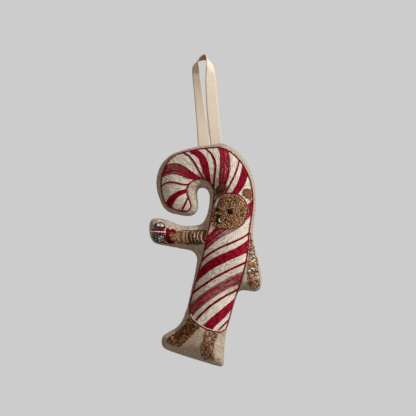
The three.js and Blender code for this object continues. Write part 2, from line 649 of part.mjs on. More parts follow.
// Flat shapes punched out of a level of thread over the crowned linen.
function addCane() {
  const lineSide = OUTLINE_WIDTH / 2;
  const insetLoop = moved(caneOutline, -(lineSide + FIT_GAP), true);
  const withinOutline = punch(insetLoop);
  const outlineRing = punch(moved(caneOutline, lineSide, true)).subtract(
    punch(moved(caneOutline, -lineSide, true)),
  );
  add("cane_outline", geometryOf(onLinen(FIT_GAP, stripeTop).intersect(outlineRing)), redThread);
  const fill = onLinen(FIT_GAP, fillTop).intersect(withinOutline);
  add("cane_fill", geometryOf(fill), creamThread);

  const level = onLinen(stripeLow, stripeTop).intersect(withinOutline);
  const ears = { left_ear: leftEarPixels, right_ear: rightEarPixels };
  const hoodLine = smoothLine(hoodPixels, SMALL_CURVE_STEP);
  const headLoop = smoothLoop(headPixels, SMALL_CURVE_STEP);
  const hoodShape = punch(stroke(hoodLine, OUTLINE_WIDTH));
  const hoodRoom = punch(stroke(hoodLine, OUTLINE_WIDTH + 2 * FIT_GAP));
  const headRoom = punch(moved(counterClockwise(headLoop), FIT_GAP, true));
  const hoodSide = punch(hoodLine);
  let stripeRoom = level.subtract(hoodRoom).subtract(headRoom).subtract(hoodSide);

  for (const [name, pixels] of Object.entries(ears)) {
    const loop = counterClockwise(smoothLoop(pixels, SMALL_CURVE_STEP));
    const ear = level.intersect(punch(loop)).subtract(hoodRoom);
    add(name, geometryOf(ear), earThread);
    stripeRoom = stripeRoom.subtract(punch(moved(loop, FIT_GAP, true)));
  }
  add("hood_outline", geometryOf(level.intersect(hoodShape)), redThread);

  const headLevel = onLinen(stripeLow, headTop).intersect(withinOutline);
  const head = headLevel.intersect(punch(headLoop)).subtract(hoodRoom);
  add("head", geometryOf(largest(head)), furThread);

  const reach = 4 * OUTLINE_WIDTH;
  wideStripePixels.forEach(([edge, otherEdge], i) => {
    const one = runOn(smoothLine(edge, CURVE_STEP), reach);
    const other = runOn(smoothLine(otherEdge, CURVE_STEP), reach);
    addStripes("wide_stripe_" + (i + 1), stripeRoom.intersect(punch([...one, ...other.reverse()])));
  });
  thinStripePixels.forEach((line, i) => {
    const middle = runOn(smoothLine(line, CURVE_STEP), OUTLINE_WIDTH);
    const shape = punch(stroke(middle, THIN_STRIPE_WIDTH));
    addStripes("thin_stripe_" + (i + 1), stripeRoom.intersect(shape));
  });
}
const largest = (solid) =>
  solid.decompose().reduce((best, body) => (body.volume() > best.volume() ? body : best));

// A stripe that the head hides in the middle shows as two, upper and lower.
function addStripes(name, solid) {
  const whole = solid.volume();
  const bodies = solid.decompose().filter((body) => body.volume() > SLIVER_SHARE * whole);
  const top = (body) => body.boundingBox().max[2];
  bodies.sort((one, other) => top(other) - top(one));
  const endings = bodies.length > 1 ? ["_upper", "_lower"] : [""];
  bodies.slice(0, endings.length).forEach((body, i) => {
    add(name + endings[i], geometryOf(body), redThread);
  });
}

function addFace() {
  const level = onLinen(faceLow, faceTop);
  const features = {
    left_eye: smoothLoop(leftEyePixels, SMALL_CURVE_STEP),
    right_eye: smoothLoop(rightEyePixels, SMALL_CURVE_STEP),
    nose: smoothLoop(nosePixels, SMALL_CURVE_STEP),
    mouth: stroke(smoothLine(mouthPixels, SMALL_CURVE_STEP), MOUTH_WIDTH),
  };
  for (const [name, points] of Object.entries(features)) {
    add(name, geometryOf(level.intersect(punch(points))), darkThread);
  }
}

function addLimbs() {
  const room = OUTLINE_WIDTH / 2 + FIT_GAP;
  const clearOfCane = onLinen(FIT_GAP, FIT_GAP + FUR_THICKNESS).subtract(
    punch(moved(caneOutline, room, true)),
  );
  const limbs = {
    front_arm_fur: frontArmPixels,
    rear_arm_fur: rearArmPixels,
    left_leg_fur: leftLegPixels,
    right_leg_fur: rightLegPixels,
  };
  for (const [name, pixels] of Object.entries(limbs)) {
    const patch = clearOfCane.intersect(punch(smoothLoop(pixels, CURVE_STEP)));
    add(name, geometryOf(largest(patch)), furThread);
  }
}

function addParcel() {
  const level = onLinen(FIT_GAP, FIT_GAP + FUR_THICKNESS);
  const pieces = {
    parcel_top: [parcelTopPixels, creamThread],
    parcel_base: [parcelBasePixels, greyThread],
    parcel_band: [parcelBandPixels, redThread],
    parcel_bow: [bowPixels, redThread],
  };
  for (const [name, [pixels, finish]] of Object.entries(pieces)) {
    const shape = punch(smoothLoop(pixels, SMALL_CURVE_STEP));
    add(name, geometryOf(level.intersect(shape)), finish);
  }
}

addLinen();
addSeamThreads();
addTape();
addCane();
addFace();
addLimbs();
addParcel();

export default root;
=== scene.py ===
import json
import math

import bmesh
import bpy
import numpy as np
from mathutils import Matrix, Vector
from mathutils.bvhtree import BVHTree
from mathutils.geometry import delaunay_2d_cdt


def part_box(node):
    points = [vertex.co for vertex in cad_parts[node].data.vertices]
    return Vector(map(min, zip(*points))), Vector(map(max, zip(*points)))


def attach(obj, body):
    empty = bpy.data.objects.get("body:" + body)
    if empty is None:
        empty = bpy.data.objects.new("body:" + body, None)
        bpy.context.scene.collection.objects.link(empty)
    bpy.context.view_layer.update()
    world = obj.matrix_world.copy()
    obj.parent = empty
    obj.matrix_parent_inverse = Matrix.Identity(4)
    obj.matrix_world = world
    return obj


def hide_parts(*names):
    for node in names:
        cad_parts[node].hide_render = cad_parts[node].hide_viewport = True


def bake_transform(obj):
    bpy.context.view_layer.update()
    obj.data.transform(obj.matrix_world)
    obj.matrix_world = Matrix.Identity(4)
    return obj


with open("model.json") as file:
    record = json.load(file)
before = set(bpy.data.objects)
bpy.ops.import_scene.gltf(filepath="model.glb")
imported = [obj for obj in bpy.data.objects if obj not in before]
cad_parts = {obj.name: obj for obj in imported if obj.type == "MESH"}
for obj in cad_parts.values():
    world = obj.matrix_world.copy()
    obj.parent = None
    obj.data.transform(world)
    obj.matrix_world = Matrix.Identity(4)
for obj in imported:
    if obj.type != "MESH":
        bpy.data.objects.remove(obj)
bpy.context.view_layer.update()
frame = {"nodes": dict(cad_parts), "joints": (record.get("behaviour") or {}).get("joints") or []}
nodes = frame["nodes"]
mm = 0.001

# Plan measures are (x, z) as the embroidered front is seen; y runs into the ornament.
bodyLow, bodyHigh = (np.array(corner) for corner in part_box("front_panel"))
stitchSeed = 20


# The random draws of one piece or group of pieces.
def draws(number):
    return np.random.default_rng(stitchSeed + number)


# Nodes

# A shader node. An input is given by its name, or by i and its number.
def addNode(tree, kind, settings=None, **inputs):
    node = tree.nodes.new(kind)
    for key, value in (settings or {}).items():
        setattr(node, key, value)
    for key, value in inputs.items():
        socket = node.inputs[int(key[1:]) if key[1:].isdigit() else key]
        if isinstance(value, bpy.types.NodeSocket):
            tree.links.new(value, socket)
        else:
            socket.default_value = value
    return node


# A math node's result, from numbers or sockets.
def calc(tree, operation, *values):
    inputs = {f"i{k}": value for k, value in enumerate(values)}
    return addNode(tree, "ShaderNodeMath", {"operation": operation}, **inputs).outputs[0]


# A noise node. Flat noise reads the first two directions only.
def addNoise(tree, place, scale, detail, flat=False, **more):
    settings = {"noise_dimensions": "2D"} if flat else None
    return addNode(tree, "ShaderNodeTexNoise", settings, Vector=place, Scale=scale, Detail=detail, **more)


# A colour ramp's result, from a list of (position, colour or grey).
def ramp(tree, factor, stops):
    node = addNode(tree, "ShaderNodeValToRGB", Fac=factor)
    elements = node.color_ramp.elements
    while len(elements) < len(stops):
        elements.new(0.5)
    for element, (position, colour) in zip(elements, stops):
        element.position = position
        element.color = (*(colour if isinstance(colour, tuple) else (colour,) * 3), 1)
    return node.outputs["Color"]


# Two colours mixed. Each is given plainly or as a socket.
def mixColour(tree, blend, factor, first, second):
    colours = [c if isinstance(c, bpy.types.NodeSocket) else (*c, 1) for c in (first, second)]
    settings = {"data_type": "RGBA", "blend_type": blend}
    node = addNode(tree, "ShaderNodeMix", settings, i0=factor, i6=colours[0], i7=colours[1])
    return node.outputs[2]


# An empty node group with float outputs. An input without a value is a vector.
def newGroup(name, inputs, outputs):
    group = bpy.data.node_groups.new(name, "ShaderNodeTree")
    for label, value in inputs.items():
        kind = "NodeSocketVector" if value is None else "NodeSocketFloat"
        socket = group.interface.new_socket(label, in_out="INPUT", socket_type=kind)
        if value is not None:
            socket.default_value = value
    for label in outputs:
        group.interface.new_socket(label, in_out="OUTPUT", socket_type="NodeSocketFloat")
    return group, group.nodes.new("NodeGroupInput").outputs, group.nodes.new("NodeGroupOutput").inputs


# Over and under threads, sin(pi x / pitch) sin(pi z / pitch), with thick and thin places along both.
def makePlainWeave():
    weave = {"driftScale": 0.45, "drift": (0.9, 0.9, 0), "slubs": ((0.16, 1.9, 1), (1.9, 0.16, 1)),
             "threadHeight": 0.5, "slubHeight": 0.9}
    group, given, result = newGroup("plainWeave", {"Plan": None, "Pitch": 0.5}, ["Height", "Slub"])
    drift = addNoise(group, given["Plan"], weave["driftScale"], 2.0, True).outputs["Color"]
    pushed = addNode(
        group, "ShaderNodeVectorMath", {"operation": "MULTIPLY_ADD"}, i0=drift, i1=weave["drift"], i2=given["Plan"]
    )
    plan = addNode(group, "ShaderNodeSeparateXYZ", Vector=pushed.outputs[0]).outputs
    over = calc(group, "MULTIPLY", *(
        calc(group, "SINE", calc(group, "DIVIDE", calc(group, "MULTIPLY", plan[axis], math.pi), given["Pitch"]))
        for axis in "XY"
    ))
    slubs = []
    for stretch in weave["slubs"]:
        drawn = addNode(group, "ShaderNodeVectorMath", {"operation": "MULTIPLY"}, i0=given["Plan"], i1=stretch)
        slubs.append(addNoise(group, drawn.outputs[0], 1.0, 2.0, True).outputs[0])
    slub = calc(group, "MAXIMUM", *slubs)
    thick = calc(group, "MULTIPLY", slub, weave["slubHeight"])
    group.links.new(calc(group, "MULTIPLY_ADD", over, weave["threadHeight"], thick), result["Height"])
    group.links.new(slub, result["Slub"])
    return group


# The plies of a thread: a wave across and along it at once, sin(2 pi (u / lay + v)), and its hairs.
def makeTwist():
    group, given, result = newGroup("threadTwist", {"Along": None, "Lay": 0.9}, ["Height", "Fibre"])
    place = addNode(group, "ShaderNodeSeparateXYZ", Vector=given["Along"]).outputs
    turns = calc(group, "ADD", calc(group, "DIVIDE", place["X"], given["Lay"]), place["Y"])
    group.links.new(calc(group, "SINE", calc(group, "MULTIPLY", turns, 2 * math.pi)), result["Height"])
    group.links.new(addNoise(group, given["Along"], 6.0, 3.0, True).outputs[0], result["Fibre"])
    return group


# Diagonal ribs that turn back along the tape, as in herringbone twill, with the weft's small waves across
# them: sin(2 pi (|x folded| + y) / rib) + share sin(2 pi y / weft). Edge is the distance from the middle.
def makeTwill():
    twill = {"turnEvery": 1.2, "weft": 0.35, "weftHeight": 0.35}
    group, given, result = newGroup("tapeTwill", {"Plan": None, "Rib": 0.9}, ["Height", "Edge"])
    plan = addNode(group, "ShaderNodeSeparateXYZ", Vector=given["Plan"]).outputs
    folded = calc(group, "ABSOLUTE", calc(group, "PINGPONG", plan["X"], twill["turnEvery"]))
    slant = calc(group, "MULTIPLY", calc(group, "ADD", folded, plan["Y"]), 2 * math.pi)
    rib = calc(group, "SINE", calc(group, "DIVIDE", slant, given["Rib"]))
    weft = calc(group, "SINE", calc(group, "MULTIPLY", plan["Y"], 2 * math.pi / twill["weft"]))
    group.links.new(calc(group, "MULTIPLY_ADD", weft, twill["weftHeight"], rib), result["Height"])
    group.links.new(calc(group, "ABSOLUTE", plan["X"]), result["Edge"])
    return group


# Materials

plainWeave, threadTwist, tapeTwill = makePlainWeave(), makeTwist(), makeTwill()
materials = {}


# A new material's node tree, with the shader's even values set.
def startMaterial(name, roughness, gloss=0.12, sheen=0.0):
    material = materials[name] = bpy.data.materials.new(name)
    material.use_nodes = True
    shader = material.node_tree.nodes["Principled BSDF"].inputs
    shader["Roughness"].default_value = roughness
    shader["Specular IOR Level"].default_value = gloss
    shader["Sheen Weight"].default_value = sheen
    return material.node_tree


# The material's colour, and its relief where a height is given.
def finishMaterial(tree, colour, height=None, strength=1.0, depth=0.0):
    shader = tree.nodes["Principled BSDF"].inputs
    tree.links.new(colour, shader["Base Color"])
    if height is not None:
        relief = addNode(tree, "ShaderNodeBump", Height=height, Strength=strength, Distance=depth)
        tree.links.new(relief.outputs[0], shader["Normal"])


# The piece's own UV, or its object coordinates.
def uvOf(tree):
    return addNode(tree, "ShaderNodeUVMap").outputs[0]


def objectOf(tree):
    return addNode(tree, "ShaderNodeTexCoord").outputs["Object"]


# A float attribute of the mesh.
def attributeOf(tree, name):
    return addNode(tree, "ShaderNodeAttribute", {"attribute_name": name}).outputs["Fac"]


# Undyed linen: plain weave, dark in its holes, with pale slubs, soft patches and small specks.
def makeLinen():
    linen = {
        "pitch": 0.46,
        "shadow": (0.2, 0.14, 0.09),
        "body": (0.415, 0.325, 0.245),
        "light": (0.6, 0.505, 0.415),
        "patches": [(0.3, 0.42), (0.5, 0.95), (0.7, 1.3)],
        "specks": [(0.33, 0.5), (0.43, 1.03)],
        "relief": (0.7, 0.12 * mm),
    }
    tree = startMaterial("linen", 0.92, sheen=0.05)
    plan = uvOf(tree)
    weave = addNode(tree, "ShaderNodeGroup", {"node_tree": plainWeave}, Plan=plan, Pitch=linen["pitch"]).outputs
    slubs = ramp(tree, weave["Slub"], [(0.42, linen["body"]), (0.6, linen["light"]), (0.78, linen["body"])])
    holes = ramp(tree, weave["Height"], [(0.0, 0.1), (0.5, 1.0)])
    colour = mixColour(tree, "MIX", holes, linen["shadow"], slubs)
    patches = addNoise(tree, plan, 0.7, 6.0, Roughness=0.65).outputs[0]
    colour = mixColour(tree, "MULTIPLY", 0.9, colour, ramp(tree, patches, linen["patches"]))
    specks = addNoise(tree, plan, 1.1, 2.0).outputs[0]
    colour = mixColour(tree, "MULTIPLY", 1.0, colour, ramp(tree, specks, linen["specks"]))
    finishMaterial(tree, colour, weave["Height"], *linen["relief"])


# Slot, colours from dark to light, roughness and gloss of each thread.
threads = {
    "creamThread": ("cream_thread", (0.18, 0.145, 0.11), (0.75, 0.675, 0.58), (0.92, 0.87, 0.79), 0.65, 0.15),
    "redThread": ("red_thread", (0.08, 0.0, 0.003), (0.27, 0.003, 0.016), (0.5, 0.014, 0.05), 0.55, 0.06),
    "furThread": ("brown_thread", (0.07, 0.023, 0.006), (0.3, 0.125, 0.05), (0.98, 0.63, 0.37), 0.6, 0.15),
    "chestnutThread": (
        "brown_thread", (0.035, 0.01, 0.003), (0.175, 0.055, 0.018), (0.35, 0.16, 0.065), 0.6, 0.15),
    "caramelThread": (
        "brown_thread", (0.08, 0.026, 0.008), (0.27, 0.107, 0.042), (0.56, 0.31, 0.165), 0.6, 0.15),
    "walnutThread": (
        "brown_thread", (0.045, 0.017, 0.004), (0.175, 0.078, 0.026), (0.38, 0.205, 0.085), 0.6, 0.15),
    "darkEarThread": (
        "dark_brown_thread", (0.06, 0.02, 0.007), (0.17, 0.065, 0.026), (0.34, 0.16, 0.075), 0.65, 0.15),
    "goldenEarThread": (
        "golden_brown_thread", (0.16, 0.062, 0.018), (0.34, 0.155, 0.06), (0.56, 0.31, 0.14), 0.65, 0.15),
    "blackThread": (
        "black_thread", (0.003, 0.002, 0.002), (0.009, 0.006, 0.005), (0.025, 0.017, 0.014), 0.55, 0.1),
    "greyThread": ("grey_thread", (0.08, 0.075, 0.07), (0.3, 0.29, 0.26), (0.62, 0.6, 0.56), 0.65, 0.15),
    "sewingThread": ("sewing_thread", (0.26, 0.2, 0.14), (0.48, 0.39, 0.29), (0.62, 0.53, 0.42), 0.65, 0.15),
}


# Embroidery thread: each stitch has a tone of its own, and painted shade darkens it where it dives into the cloth.
def makeThread(name, dark, mid, light, roughness, gloss):
    thread = {"lay": 0.9, "fibre": 0.5, "ply": 0.1, "stops": (0.12, 0.5, 0.88), "sink": 0.8, "sunk": 0.3,
              "relief": (0.6, 0.08 * mm)}
    tree = startMaterial(name, roughness, gloss)
    twist = addNode(
        tree, "ShaderNodeGroup", {"node_tree": threadTwist}, Along=uvOf(tree), Lay=thread["lay"]).outputs
    fibre = calc(tree, "MULTIPLY_ADD", twist["Fibre"], thread["fibre"], -thread["fibre"] / 2)
    toned = calc(tree, "ADD", attributeOf(tree, "tone"), fibre)
    shade = calc(tree, "MULTIPLY_ADD", twist["Height"], thread["ply"], toned)
    colour = ramp(tree, shade, list(zip(thread["stops"], (dark, mid, light))))
    # The painted shade is a darker copy of the thread's darkest colour, mixed in by the dive attribute.
    deep = tuple(thread["sunk"] * part for part in dark)
    sunk = calc(tree, "MULTIPLY", attributeOf(tree, "dive"), thread["sink"])
    finishMaterial(tree, mixColour(tree, "MIX", sunk, colour, deep), twist["Height"], *thread["relief"])


# Unbleached cotton: twill ribs, darker selvedges, and painted shade, a warm brown, on faces that look down at the
# fold at the top.
def makeTapeCotton():
    cotton = {
        "shadow": (0.47, 0.36, 0.25),
        "body": (0.73, 0.62, 0.5),
        "light": (0.86, 0.765, 0.655),
        "underside": (0.36, 0.19, 0.08),
        "halfWidth": 4.75,
        "rib": 0.9,
        "ribShade": [(0.0, 0.9), (0.6, 1.0)],
        "selvedge": [(0.86, 0.0), (0.93, 1.0)],
        "selvedgeShare": 0.45,
        "relief": (0.4, 0.05 * mm),
    }
    tree = startMaterial("tapeCotton", 0.88)
    plan = uvOf(tree)
    twill = addNode(tree, "ShaderNodeGroup", {"node_tree": tapeTwill}, Plan=plan, Rib=cotton["rib"]).outputs
    mottle = addNoise(tree, plan, 0.9, 4.0).outputs[0]
    colour = ramp(tree, mottle, [(0.3, cotton["body"]), (0.7, cotton["light"])])
    ribs = ramp(tree, calc(tree, "MULTIPLY_ADD", twill["Height"], 0.4, 0.5), cotton["ribShade"])
    colour = mixColour(tree, "MULTIPLY", 1.0, colour, ribs)
    selvedge = ramp(tree, calc(tree, "DIVIDE", twill["Edge"], cotton["halfWidth"]), cotton["selvedge"])
    selvedge = calc(tree, "MULTIPLY", selvedge, cotton["selvedgeShare"])
    colour = mixColour(tree, "MIX", selvedge, colour, cotton["shadow"])
    # Painted shade: the fold attribute mixes faces that look down towards warm brown.
    colour = mixColour(tree, "MIX", attributeOf(tree, "fold"), colour, cotton["underside"])
    finishMaterial(tree, colour, twill["Height"], *cotton["relief"])


# Loose fibre: noise whose places are pushed about by another.
def makeFilling():
    tree = startMaterial("filling", 1.0)
    fibre = addNoise(tree, objectOf(tree), 220.0, 6.0, Distortion=1.5).outputs[0]
    colour = ramp(tree, fibre, [(0.3, (0.62, 0.61, 0.58)), (0.65, (0.9, 0.9, 0.87))])
    finishMaterial(tree, colour, fibre, 0.8, 0.5 * mm)


# Bonded backing cloth, pressed in small cells.
def makeBacking():
    tree = startMaterial("backing", 0.95)
    settings = {"feature": "DISTANCE_TO_EDGE"}
    cells = addNode(tree, "ShaderNodeTexVoronoi", settings, Vector=objectOf(tree), Scale=900.0).outputs["Distance"]
    colour = ramp(tree, cells, [(0.0, (0.72, 0.71, 0.68)), (0.3, (0.85, 0.84, 0.81))])
    finishMaterial(tree, colour, cells, 0.4, 0.1 * mm)


makeLinen()
makeTapeCotton()
makeFilling()
makeBacking()
for name, (_, *look) in threads.items():
    makeThread(name, *look)
print("materials", len(materials))


# Meshes and arrays

# A new object for the data, in the scene.
def addObject(name, data):
    made = bpy.data.objects.new(name, data)
    bpy.context.collection.objects.link(made)
    return made


# A smooth mesh object. uv is given by vertex, and values are float attributes by vertex.
def meshPiece(name, vertices, faces, material, uv=None, values=None):
    faces = np.asarray(faces)
    mesh = bpy.data.meshes.new(name)
    mesh.vertices.add(np.size(vertices) // 3)
    mesh.vertices.foreach_set("co", np.asarray(vertices, np.float32).ravel())
    mesh.loops.add(faces.size)
    mesh.loops.foreach_set("vertex_index", faces.astype(np.int32).ravel())
    mesh.polygons.add(len(faces))
    mesh.polygons.foreach_set("loop_start", np.arange(0, faces.size, faces.shape[1], dtype=np.int32))
    mesh.polygons.foreach_set("use_smooth", np.ones(len(faces), bool))
    if uv is not None:
        corners = np.reshape(uv, (-1, 2))[faces.ravel()]
        mesh.uv_layers.new(name="UVMap").data.foreach_set("uv", corners.astype(np.float32).ravel())
    for label, value in (values or {}).items():
        attribute = mesh.attributes.new(label, "FLOAT", "POINT")
        attribute.data.foreach_set("value", np.asarray(value, np.float32).ravel())
    mesh.update(calc_edges=True)
    mesh.validate()
    mesh.materials.append(materials[material])
    return addObject(name, mesh)


# A mesh's vertices and triangles.
def meshArrays(mesh):
    mesh.calc_loop_triangles()
    vertices = np.empty(3 * len(mesh.vertices))
    mesh.vertices.foreach_get("co", vertices)
    triangles = np.empty(3 * len(mesh.loop_triangles), np.int32)
    mesh.loop_triangles.foreach_get("vertices", triangles)
    return vertices.reshape(-1, 3), triangles.reshape(-1, 3)


# The piece rides on the stuffed body and stands for these nodes.
def settle(piece, slot, *replaced):
    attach(piece, "ornament")
    if replaced:
        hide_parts(*replaced)
    return piece


# A live Solidify on the piece, with its wall inside the surface.
def thicken(piece, thickness):
    thick = piece.modifiers.new("thick", "SOLIDIFY")
    thick.thickness = thickness
    thick.offset = -1


# Plan points with their depths, as places in space.
def placed(plan, depth):
    return np.stack([plan[..., 0], depth, plan[..., 1]], axis=-1)


# Every pair of the two arrays' values, as they broadcast.
def paired(first, second):
    return np.stack(np.broadcast_arrays(first, second), axis=-1)


def heading(angle):
    return np.array([math.cos(angle), math.sin(angle)])


def unit(vectors):
    return vectors / np.maximum(np.linalg.norm(vectors, axis=-1, keepdims=True), 1e-12)


# How far along an open line each of its points lies.
def lengths(points):
    steps = np.linalg.norm(np.diff(points, axis=0), axis=1)
    return np.concatenate([[0], np.cumsum(steps)])


# The line's points at these distances along it.
def pointsAt(line, places):
    reach = lengths(line)
    return np.stack([np.interp(places, reach, column) for column in line.T], axis=-1)


# Points evenly spaced along an open line.
def resample(points, count):
    return pointsAt(points, np.linspace(0, lengths(points)[-1], count))


# A loop with its first point again at its end.
def closed(loop):
    return np.vstack([loop, loop[:1]])


# A place between start and end on the cubic that also heeds the points before and beyond them.
def catmullRom(before, start, end, beyond, share):
    return 0.5 * (
        2 * start + (end - before) * share + (2 * before - 5 * start + 4 * end - beyond) * share**2
        + (3 * start - before - 3 * end + beyond) * share**3
    )


# A loop through the points with an even step.
def smoothClosed(points, step):
    share = np.linspace(0, 1, 8, endpoint=False)[None, :, None]
    around = (np.roll(points, shift, axis=0)[:, None] for shift in (1, 0, -1, -2))
    fine = closed(catmullRom(*around, share).reshape(-1, 2))
    return resample(fine, max(8, round(lengths(fine)[-1] / step)) + 1)[:-1]


# Evenly shared points on an open line through the given ones.
def smoothOpen(points, count):
    padded = np.vstack([2 * points[0] - points[1], points, 2 * points[-1] - points[-2]])
    places = np.linspace(0, len(points) - 1, count)
    span = np.minimum(places.astype(int), len(points) - 2)
    return catmullRom(*(padded[span + k] for k in range(4)), (places - span)[:, None])


# Directions along a counter-clockwise loop and outwards from it.
def directionsOf(loop):
    along = unit(np.roll(loop, -1, axis=0) - np.roll(loop, 1, axis=0))
    return along, np.stack([along[:, 1], -along[:, 0]], axis=1)


# The loop moved outwards.
def offsetLoop(loop, distance):
    return loop + distance * directionsOf(loop)[1]


# Points on a triangular grid between two corners.
def staggered(low, high, step):
    rows = []
    for row, z in enumerate(np.arange(low[1], high[1], step * math.sqrt(3) / 2)):
        x = np.arange(low[0] + (row % 2) * step / 2, high[0], step)
        rows.append(np.stack([x, np.full(len(x), z)], axis=1))
    return np.concatenate(rows)


# The first place and the place after the last of each true stretch in a row.
def stretches(row):
    turns = np.nonzero(np.diff(np.concatenate([[0], row.astype(int), [0]])))[0]
    return list(zip(turns[::2], turns[1::2]))


# Triangles turned so that they run counter-clockwise as seen from the front.
def orient(plan, faces):
    a, b, c = (plan[faces[:, k]] for k in range(3))
    turn = (b[:, 0] - a[:, 0]) * (c[:, 1] - a[:, 1]) - (b[:, 1] - a[:, 1]) * (c[:, 0] - a[:, 0])
    return np.where(turn[:, None] > 0, faces, faces[:, ::-1])


# Outlines and footprints of the solids, seen from the front

# The node's faces that look to the front, as a bmesh with its points merged.
def frontFaces(node):
    form = bmesh.new()
    form.from_mesh(nodes[node].data)
    bmesh.ops.remove_doubles(form, verts=form.verts, dist=0.002 * mm)
    form.normal_update()
    away = [face for face in form.faces if face.normal.y > -0.25]
    bmesh.ops.delete(form, geom=away, context="FACES")
    return form


# The longest loop round the node's front faces, as plan points, counter-clockwise.
def outlineOf(node):
    form = frontFaces(node)
    following = {}
    for edge in form.edges:
        if len(edge.link_faces) == 1:
            start = next(corner for corner in edge.link_faces[0].loops if corner.edge == edge)
            following[start.vert] = start.link_loop_next.vert
    loops = []
    while following:
        start = next(iter(following))
        at = following.pop(start)
        chain = [start]
        while at in following:
            chain.append(at)
            at = following.pop(at)
        loops.append([(vert.co.x, vert.co.z) for vert in chain])
    form.free()
    longest = np.array(max(loops, key=len))
    x, z = longest.T
    area = np.sum(x * np.roll(z, -1) - np.roll(x, -1) * z)
    return longest if area > 0 else longest[::-1]


# A grid over the front view, in which footprints are kept as true and false cells.
class Plan:

    cell = 0.2 * mm
    margin = 1 * mm
    low = bodyLow[[0, 2]] - margin
    shape = tuple(np.ceil((bodyHigh[[0, 2]] + margin - low) / cell).astype(int))

    @classmethod
    def cellsOf(cls, points):
        return (points - cls.low) / cls.cell - 0.5

    @classmethod
    def centres(cls, region):
        return cls.low + (np.argwhere(region) + 0.5) * cls.cell

    @classmethod
    def inside(cls, region, points):
        index = np.clip(np.rint(cls.cellsOf(points)).astype(int), 0, np.array(cls.shape) - 1)
        return region[index[..., 0], index[..., 1]]

    # The region widened by a distance, or narrowed where it is negative.
    @classmethod
    def grown(cls, region, distance):
        reach = abs(distance) / cls.cell
        wide = region if distance > 0 else ~region
        result = wide.copy()
        steps = range(-math.ceil(reach), math.ceil(reach) + 1)
        for dx in steps:
            for dz in steps:
                if math.hypot(dx, dz) <= reach:
                    result |= np.roll(wide, (dx, dz), axis=(0, 1))
        return result if distance > 0 else ~result

    # The region and its copy moved by whole cells.
    @classmethod
    def moved(cls, region, shift):
        return np.roll(region, np.rint(np.array(shift) / cls.cell).astype(int), axis=(0, 1))

    # The cells within a distance of a finely drawn line.
    @classmethod
    def along(cls, line, distance):
        region = np.zeros(cls.shape, bool)
        region[tuple(np.rint(cls.cellsOf(line)).astype(int).T)] = True
        return cls.grown(region, distance)


# The cells that the nodes cover.
def footprint(*names):
    region = np.zeros(Plan.shape, bool)
    for name in names:
        vertices, triangles = meshArrays(nodes[name].data)
        for a, b, c in Plan.cellsOf(vertices[:, [0, 2]])[triangles]:
            area = (b[0] - a[0]) * (c[1] - a[1]) - (b[1] - a[1]) * (c[0] - a[0])
            if abs(area) < 1e-6:
                continue
            low = np.maximum(np.floor(np.minimum(np.minimum(a, b), c)).astype(int), 0)
            high = np.ceil(np.maximum(np.maximum(a, b), c)).astype(int) + 1
            x, z = np.mgrid[low[0]:high[0], low[1]:high[1]]
            u = ((b[0] - x) * (c[1] - z) - (b[1] - z) * (c[0] - x)) / area
            v = ((c[0] - x) * (a[1] - z) - (c[1] - z) * (a[0] - x)) / area
            region[low[0]:high[0], low[1]:high[1]] |= (u >= 0) & (v >= 0) & (u + v <= 1)
    return region


# The stuffed body: two crowned linen panels, blown up as cloth and joined at the rim

body = {
    "rimStep": 1.5 * mm,
    "rimFine": 0.5 * mm,
    "rimInset": 0.8 * mm,
    "clothStep": 1.7 * mm,
    "innerMargin": 0.6,  # in cloth steps
    "crownPower": 0.62,
    "rimDepth": 1.15 * mm,
    "rimSteepness": 6,
    "backShare": 10.5 / 11,
    "backSoftness": 0.35 * mm,
    "sheetThickness": 0.5 * mm,
    "seamGap": 0.03 * mm,
    "wall": 5 * mm,
    "wallSoftness": 1.2 * mm,
    "wallShare": 0.75,
    "backShift": (137, 61),  # of the weave, in mm
    "stitchedMargin": 1.2 * mm,
    "held": {"rim": 1.0, "stitched": 0.9, "front": 0.03, "back": 0.05},
}
pressure = {
    "scale": 10,  # the cloth is simulated larger than it is
    "frames": 22,
    "cap": 0.9 * mm,
    "settings": {
        "quality": 6, "mass": 0.05, "tension_stiffness": 12, "compression_stiffness": 12, "shear_stiffness": 6,
        "bending_stiffness": 0.25, "use_pressure": True, "uniform_pressure_force": 3,
        "vertex_group_mass": "held", "pin_stiffness": 1, "shrink_min": -0.045,
    },
}


# Distance from the rim without a ridge: the inverse cubes of the distances to the rim, summed
# over each straight piece as s / (c^2 sqrt(s^2 + c^2)) between its ends.
def softDistance(points, rim):
    total = np.zeros(len(points))
    for start, end in zip(rim, np.roll(rim, -1, axis=0)):
        along = (end - start) / np.linalg.norm(end - start)
        s0, s1 = (start - points) @ along, (end - points) @ along
        aside = np.maximum(np.sum((start - points) ** 2, axis=1) - s0**2, 1e-14)
        total += (s1 / np.sqrt(s1**2 + aside) - s0 / np.sqrt(s0**2 + aside)) / aside
    return np.sqrt(2 / total)


# The rim, then even points inside it and the triangles between them, in plan, which of the points
# are on the rim, and the same points with the rim drawn in a little.
def panelNet():
    rim = smoothClosed(outlineOf("front_panel"), body["rimStep"])
    grid = staggered(bodyLow[[0, 2]], bodyHigh[[0, 2]], body["clothStep"])
    panel = Plan.grown(footprint("front_panel"), -body["innerMargin"] * body["clothStep"])
    points = np.vstack([rim, grid[Plan.inside(panel, grid)]]) * 1000  # in mm
    net = delaunay_2d_cdt([Vector(point) for point in points], [], [list(range(len(rim)))], 1, 1e-6)
    plan = np.array([tuple(point) for point in net[0]]) / 1000
    origin = np.array([min(sources) for sources in net[3]])
    isRim = origin < len(rim)
    inset = plan.copy()
    inset[isRim] = offsetLoop(rim, -body["rimInset"])[origin[isRim]]
    return rim, plan, orient(plan, np.array(net[2])), isRim, inset


